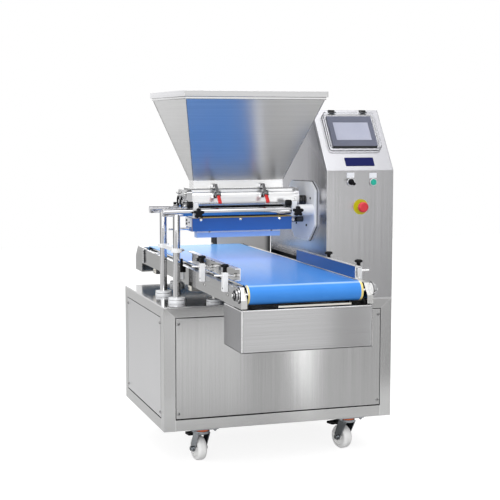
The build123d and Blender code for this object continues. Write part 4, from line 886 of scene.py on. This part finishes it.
# drip box: the screws that hold it, seen below its front edge
stub = lathed([(0, 4), (1.8, 4), (2.4, 3.4), (2.4, 0), (0, 0)], steps=12)
rows = [(stub, seat(x, -573, 400, down)) for x in (150, 189, 246, 460, 520, 556)]
fitted("dripScrews", "frame", ("darkSteelAndShade",), rows)

# drip box: a dark strip under it for painted shade, a bright strip along its top for painted highlight, the pale
# scraper strip in its dark holder behind the front wall, the holder partly standing in for shade
lowShade = {"high": 2.4, "thick": 1.6, "z": 397.6, "soft": 0.4}
topHighlight = {"high": 3.4, "thick": 0.8, "z": 537.4, "soft": 0.2}
scraper = {"long": 262, "thick": 2.4, "blade": 6.2, "holder": 15.4, "foot": 530, "middle": 378.5, "y": -580.6}
lowFront = slab((466, lowShade["thick"], lowShade["high"]), lowShade["soft"])
lowSide = slab((lowShade["thick"], 195, lowShade["high"]), lowShade["soft"])
topFront = slab((460, topHighlight["thick"], topHighlight["high"]), topHighlight["soft"], dye=2)
topSide = slab((topHighlight["thick"], 189, topHighlight["high"]), topHighlight["soft"], dye=2)
holder = slab((scraper["long"], scraper["thick"], scraper["holder"]), 0.5)
blade = slab((scraper["long"], scraper["thick"], scraper["blade"]), 0.5, dye=1)
rows = [(lowFront, seat(353, -583.4, lowShade["z"])), (lowSide, seat(118.4, -484.5, lowShade["z"])),
        (topFront, seat(353, -585.2, topHighlight["z"])), (topSide, seat(116.8, -484.5, topHighlight["z"])),
        (holder, seat(scraper["middle"], scraper["y"], scraper["foot"])),
        (blade, seat(scraper["middle"], scraper["y"], scraper["foot"] + scraper["holder"]))]
fitted("dripTrim", "frame", ("blackAndShade", "creamCap", "steelHighlight"), rows)

# guides: lock nuts on their rods
lockNut = hexNut(7.5, 5.5, 3.4)
for side, x, way in (("left", 146, left), ("right", 547, right)):
    rows = [(lockNut, seat(x, y, guides["rod"], way)) for y in guides["rows"]]
    fitted(side + "RodNuts", side + "_guide", ("steelScrew",), rows)

# guide knobs: a narrow neck under a lobed head, on a washer
knobLook = {"lobes": 5, "dip": 0.16, "neck": 8, "lift": 0.4}
knob = lathed([(0, 0), (7, 0), (7.3, 0.8), (7.1, 4), (6.7, 11), (7.2, 15.5), (8, 17), (12, 18.2), (14.6, 20),
               (15, 22.6), (14.3, 25.4), (12, 27.3), (7, 28.1), (0, 28.2)], steps=60)
for spot in knob.verts:
    out = spot.co.xy.length - knobLook["neck"]
    if out > 0:
        wave = 0.5 - 0.5 * cos(knobLook["lobes"] * atan2(spot.co.y, spot.co.x))
        spot.co.xy *= 1 - knobLook["dip"] * wave * min(1, out / 4)
washer = lathed([(7.6, 0), (10, 0), (10, 0.9), (9.4, 1.3), (7.6, 1.3), (7.6, 0)])
rows = []
for side, x in guides["knobs"].items():
    for row, y in zip(("front", "rear"), guides["rows"]):
        name = side + "_" + row + "_guide_knob"
        place = seat(x, y, guides["top"] + knobLook["lift"])
        piece = side + row.capitalize() + "GuideKnob"
        fitted(piece, name, ("blackNylon",), [(knob, place)], (name,))
        rows.append((washer, seat(x, y, guides["top"])))
fitted("knobWashers", "frame", ("steelPolished",), rows)

# selector: a round skirt, a finger grip turned to the working place, a white line along it, its stem
turned = 45
grip, line = slab((10.5, 28, 15), 3), slab((2.2, 12, 0.5), 0.15, dye=1)
skirt = lathed([(0, 0), (11.3, 0), (11.6, 0.8), (11, 6.2), (10, 7), (0, 7)], steps=40)
stem = lathed([(0, 0), (7.9, 0), (7.9, 31), (0, 31)])
x, y, z = selector.values()
rows = [(skirt, seat(x, y, z, front)), (grip, seat(x, y - 7, z, front, turned)),
        (line, seat(x + 3, y - 20.8, z - 3, front, turned)), (stem, seat(x, y, z, rear))]
fitted("selectorGrip", "selector_knob", ("blackNylon", "whitePlate"), rows, ("selector_knob",))

# switches: a pale ring round each
pale = lathed([(12.6, 0), (14.6, 0), (14.6, 0.7), (14, 1.2), (13.2, 1.2), (12.6, 0.7), (12.6, 0)], steps=40)
rows = [(pale, seat(x, -6, z, front)) for x, z in ((746, 930), (840, 928))]
fitted("switchRings", "frame", ("whitePlate",), rows)

# screen lid: its seal on the sloping face, and a ring round its front, both with painted shade along their left and
# lower runs
lid = {"across": (679, 897), "rise": (90, 262), "corner": 14, "near": (-95, -72), "deep": 17}
run, rise = slope["run"] / slope["long"], slope["rise"] / slope["long"]
slopeFace = Matrix(((1, 0, 0, 0), (0, run, -rise, 0), (0, rise, run, 0), (0, 0, 0, 1)))


def lidRing(band, thick):  # a flat ring of the lid's outline; its left and lower runs take the first finish, for painted shade
    form = bmesh.new()
    size = (lid["across"][1] - lid["across"][0], lid["rise"][1] - lid["rise"][0], 1)
    bmesh.ops.create_grid(form, x_segments=1, y_segments=1, size=0.5)
    bmesh.ops.scale(form, vec=size, verts=form.verts)
    bmesh.ops.bevel(form, geom=form.verts[:], offset=lid["corner"], affect="VERTICES", segments=6, profile=0.5,
                    material=-1)
    middle = form.faces[:]
    bmesh.ops.inset_region(form, faces=middle, thickness=band, use_even_offset=True, use_boundary=True)
    bmesh.ops.delete(form, geom=middle, context="FACES")
    thicken(form, (0, 0, thick))
    closed(form)
    for face in form.faces:
        spot = face.calc_center_median()
        face.material_index = 0 if spot.x < lid["near"][0] or spot.y < lid["near"][1] else 1
    return form


middle = Matrix.Translation((sum(lid["across"]) / 2, sum(lid["rise"]) / 2, 0))
onSlope = Matrix.Translation(at(0, 0, slope["foot"])) @ slopeFace @ Matrix.Scale(0.001, 4) @ middle
onLid = onSlope @ Matrix.Translation((0, 0, lid["deep"]))
fitted("lidSeal", "frame", ("blackAndShade", "boxGrey"), [(lidRing(2.4, 0.9), onSlope)])
fitted("lidEdge", "screen_cover", ("blackAndShade", "lidWall"), [(lidRing(2.6, 0.4), onLid)])

# column: a black plate that closes the recess beside the belt at its back end, standing in for the shade in the
# recess
recess = {"size": (29.6, 1.6, 138), "soft": 0.4, "foot": (663, 653.8, 474.5)}
rows = [(slab(recess["size"], recess["soft"]), seat(*recess["foot"]))]
fitted("recessEnd", "frame", ("blackAndShade",), rows)

# casters: plate nuts, axle nuts, pedal ribs
casterLook = {"bolts": (42, 33), "plate": -5, "axle": (30, 34, -92.5), "ribs": (64, 74, 84), "pedal": -39.2}
nut, stud = hexNut(7, 5.5, 3.4), lathed([(0, 9), (2.6, 9), (3.4, 8.2), (3.4, 0), (0, 0)], steps=12)
axleNut, rib = hexNut(9.6, 4.6, 3), slab((40, 3, 1.6), 0.6, dye=1)
boltX, boltY = casterLook["bolts"]
rows = []
for x, y in casters:
    for i, j in corners:
        place = seat(x + boltX * i, y + boltY * j, casterLook["plate"], down)
        rows += [(nut, place), (stud, place)]
fitted("casterNuts", "frame", ("zincPlate",), rows)
for x, y in casters:
    turn = Matrix.Rotation(radians(8 if x < 400 else 18), 4, "Z")  # as each fork was left standing
    swing = Matrix.Translation(at(x, y, 0)) @ turn @ Matrix.Translation(-at(x, y, 0))
    out, trail, z = casterLook["axle"]
    rows = [(axleNut, swing @ seat(x + out * way[0], y + trail, z, way)) for way in (left, right)]
    rows += [(rib, swing @ seat(x, y + reach, casterLook["pedal"])) for reach in casterLook["ribs"]]
    row, side = "front" if y < 300 else "rear", "left" if x < 400 else "right"
    name = row + side.capitalize() + "AxleNuts"
    fitted(name, row + "_" + side + "_caster_fork", ("zincPlate", "blackNylon"), rows)

# back of the column and of the drive's box: gland nut, lid with its screws
fitted("glandNut", "frame", ("blackNylon",), [(hexNut(19, 6, 15.2), seat(860, 655, 560, rear))])
boxLid = {"foot": (595.5, 964, 656), "size": (240, 70, 2), "screws": (110, 27)}
x, y, z = boxLid["foot"]
screwX, screwZ = boxLid["screws"]
lidScrew = socketScrew(3.4, 2.4, 1.6, dye=1, dark=2)
rows = [(slab(boxLid["size"], 0.8), seat(x, y, z, rear))]
rows += [(lidScrew, seat(x + screwX * i, y + boxLid["size"][2], z + screwZ * j, rear)) for i, j in corners]
fitted("driveBoxLid", "frame", ("boxGrey", "steelScrew", "blackAndShade"), rows)
print("fittings made")

# studio
studio = {"floorFrom": (-6.0, -1.3), "floorTo": (6.0, 8.0)}
floorMesh = bpy.data.meshes.new("floor")
form = bmesh.new()
bmesh.ops.create_grid(form, x_segments=2, y_segments=2, size=0.5)
low, high = Vector(studio["floorFrom"] + (0,)), Vector(studio["floorTo"] + (0,))
bmesh.ops.scale(form, vec=(high - low) + Vector((0, 0, 1)), verts=form.verts)
bmesh.ops.translate(form, vec=(low + high) / 2, verts=form.verts)
form.to_mesh(floorMesh)
form.free()
floor = bpy.data.objects.new("floor", floorMesh)
scene.collection.objects.link(floor)
paper, tree, shader = newFinish("studioPaper", Roughness=0.9)
grainy = noise(tree, ownPlace(tree), 40.0)
wire(tree, shader, Base_Color=blend(tree, grainy, (0.60, 0.60, 0.60, 1), (0.64, 0.64, 0.64, 1)))
sheet = put(tree, "BsdfDiffuse", {"Color": (0.25, 0.25, 0.25, 1)}).outputs[0]
lift = put(tree, "Emission", {"Color": (1, 1, 1, 1), "Strength": 0.86}).outputs[0]
bright = put(tree, "AddShader", {0: sheet, 1: lift}).outputs[0]  # the white sweep as the lens sees it
direct = put(tree, "LightPath").outputs["Is Camera Ray"]
tree.links.new(put(tree, "MixShader", {0: direct, 1: shader.outputs[0], 2: bright}).outputs[0],
               tree.nodes["Material Output"].inputs["Surface"])
floorMesh.materials.append(paper)

lamps = {
    "skyBox": {"place": (-0.4, -1.6, 4.4), "aim": (0, 0.1, 0.7), "size": (3.6, 2.6), "power": 65},
    "leftBox": {"place": (-4.2, -0.6, 2.4), "aim": (0, 0, 0.8), "size": (2.4, 2.4), "power": 12},
    "lensBox": {"place": (-2.6, -4.6, 1.7), "aim": (0, 0, 0.7), "size": (1.8, 2.6), "power": 45},
    "frontStrip": {"place": (0.664, -1.69, 0.45), "aim": (0.1, -0.2, 0.4), "size": (0.09, 1.2), "power": 0.6},
    "softStrip": {"place": (0.06, -1.69, 0.5), "aim": (-0.2, -0.2, 0.4), "size": (0.55, 1.2), "power": 0.9},
    "beltFill": {"place": (-0.118, 0.25, 0.845), "aim": (-0.118, 0.25, 0.7), "size": (0.36, 0.75), "power": 0.35},
    "rearBox": {"place": (1.2, 3.8, 3.4), "aim": (0, 0.4, 0.4), "size": (3.0, 2.2), "power": 40},
}
for name, look in lamps.items():
    lamp = bpy.data.lights.new(name, "AREA")
    lamp.shape, lamp.energy = "RECTANGLE", look["power"]
    lamp.size, lamp.size_y = look["size"]
    holder = bpy.data.objects.new(name, lamp)
    holder.location = look["place"]
    holder.visible_camera = False
    holder.visible_glossy = name != "beltFill"  # a card that only lifts the belt's shade
    holder.rotation_euler = (Vector(look["aim"]) - Vector(look["place"])).to_track_quat("-Z", "Y").to_euler()
    scene.collection.objects.link(holder)

world = bpy.data.worlds.new("studio")
scene.world = world
world.use_nodes = True
tree = world.node_tree
way = split(tree, put(tree, "TexCoord").outputs["Generated"])
ahead = ramp(tree, way[1], (-0.6, 0.4), (0.36, 0.72))  # dimmer on the camera's side
overhead = ramp(tree, way[2], (-0.28, 0.12), (0.0, 1.0), smooth=True)
glow = calc(tree, "MULTIPLY_ADD", overhead, 0.67, ahead)
flag = ramp(tree, way[0], (0.50, 0.72), (1.0, 0.10), smooth=True)
glow = calc(tree, "MULTIPLY", glow, flag)  # a black flag off to the right, for dark edges on the round steel
aside = ramp(tree, way[0], (-0.24, -0.40), (0.0, 1.0), smooth=True)
behind = ramp(tree, way[1], (0.15, 0.40), (0.0, 0.9), smooth=True)
flag = calc(tree, "SUBTRACT", 1.0, calc(tree, "MULTIPLY", aside, behind))
glow = calc(tree, "MULTIPLY", glow, flag)  # and one behind on the left
seen = put(tree, "LightPath").outputs["Is Camera Ray"]
white = put(tree, "Background", {"Color": (1, 1, 1, 1), "Strength": 1.0}).outputs[0]
room = put(tree, "Background", {"Color": (1, 1, 1, 1), "Strength": glow}).outputs[0]
tree.links.new(put(tree, "MixShader", {0: seen, 1: room, 2: white}).outputs[0],
               tree.nodes["World Output"].inputs["Surface"])
scene.view_settings.view_transform = "Standard"
print("studio lit")
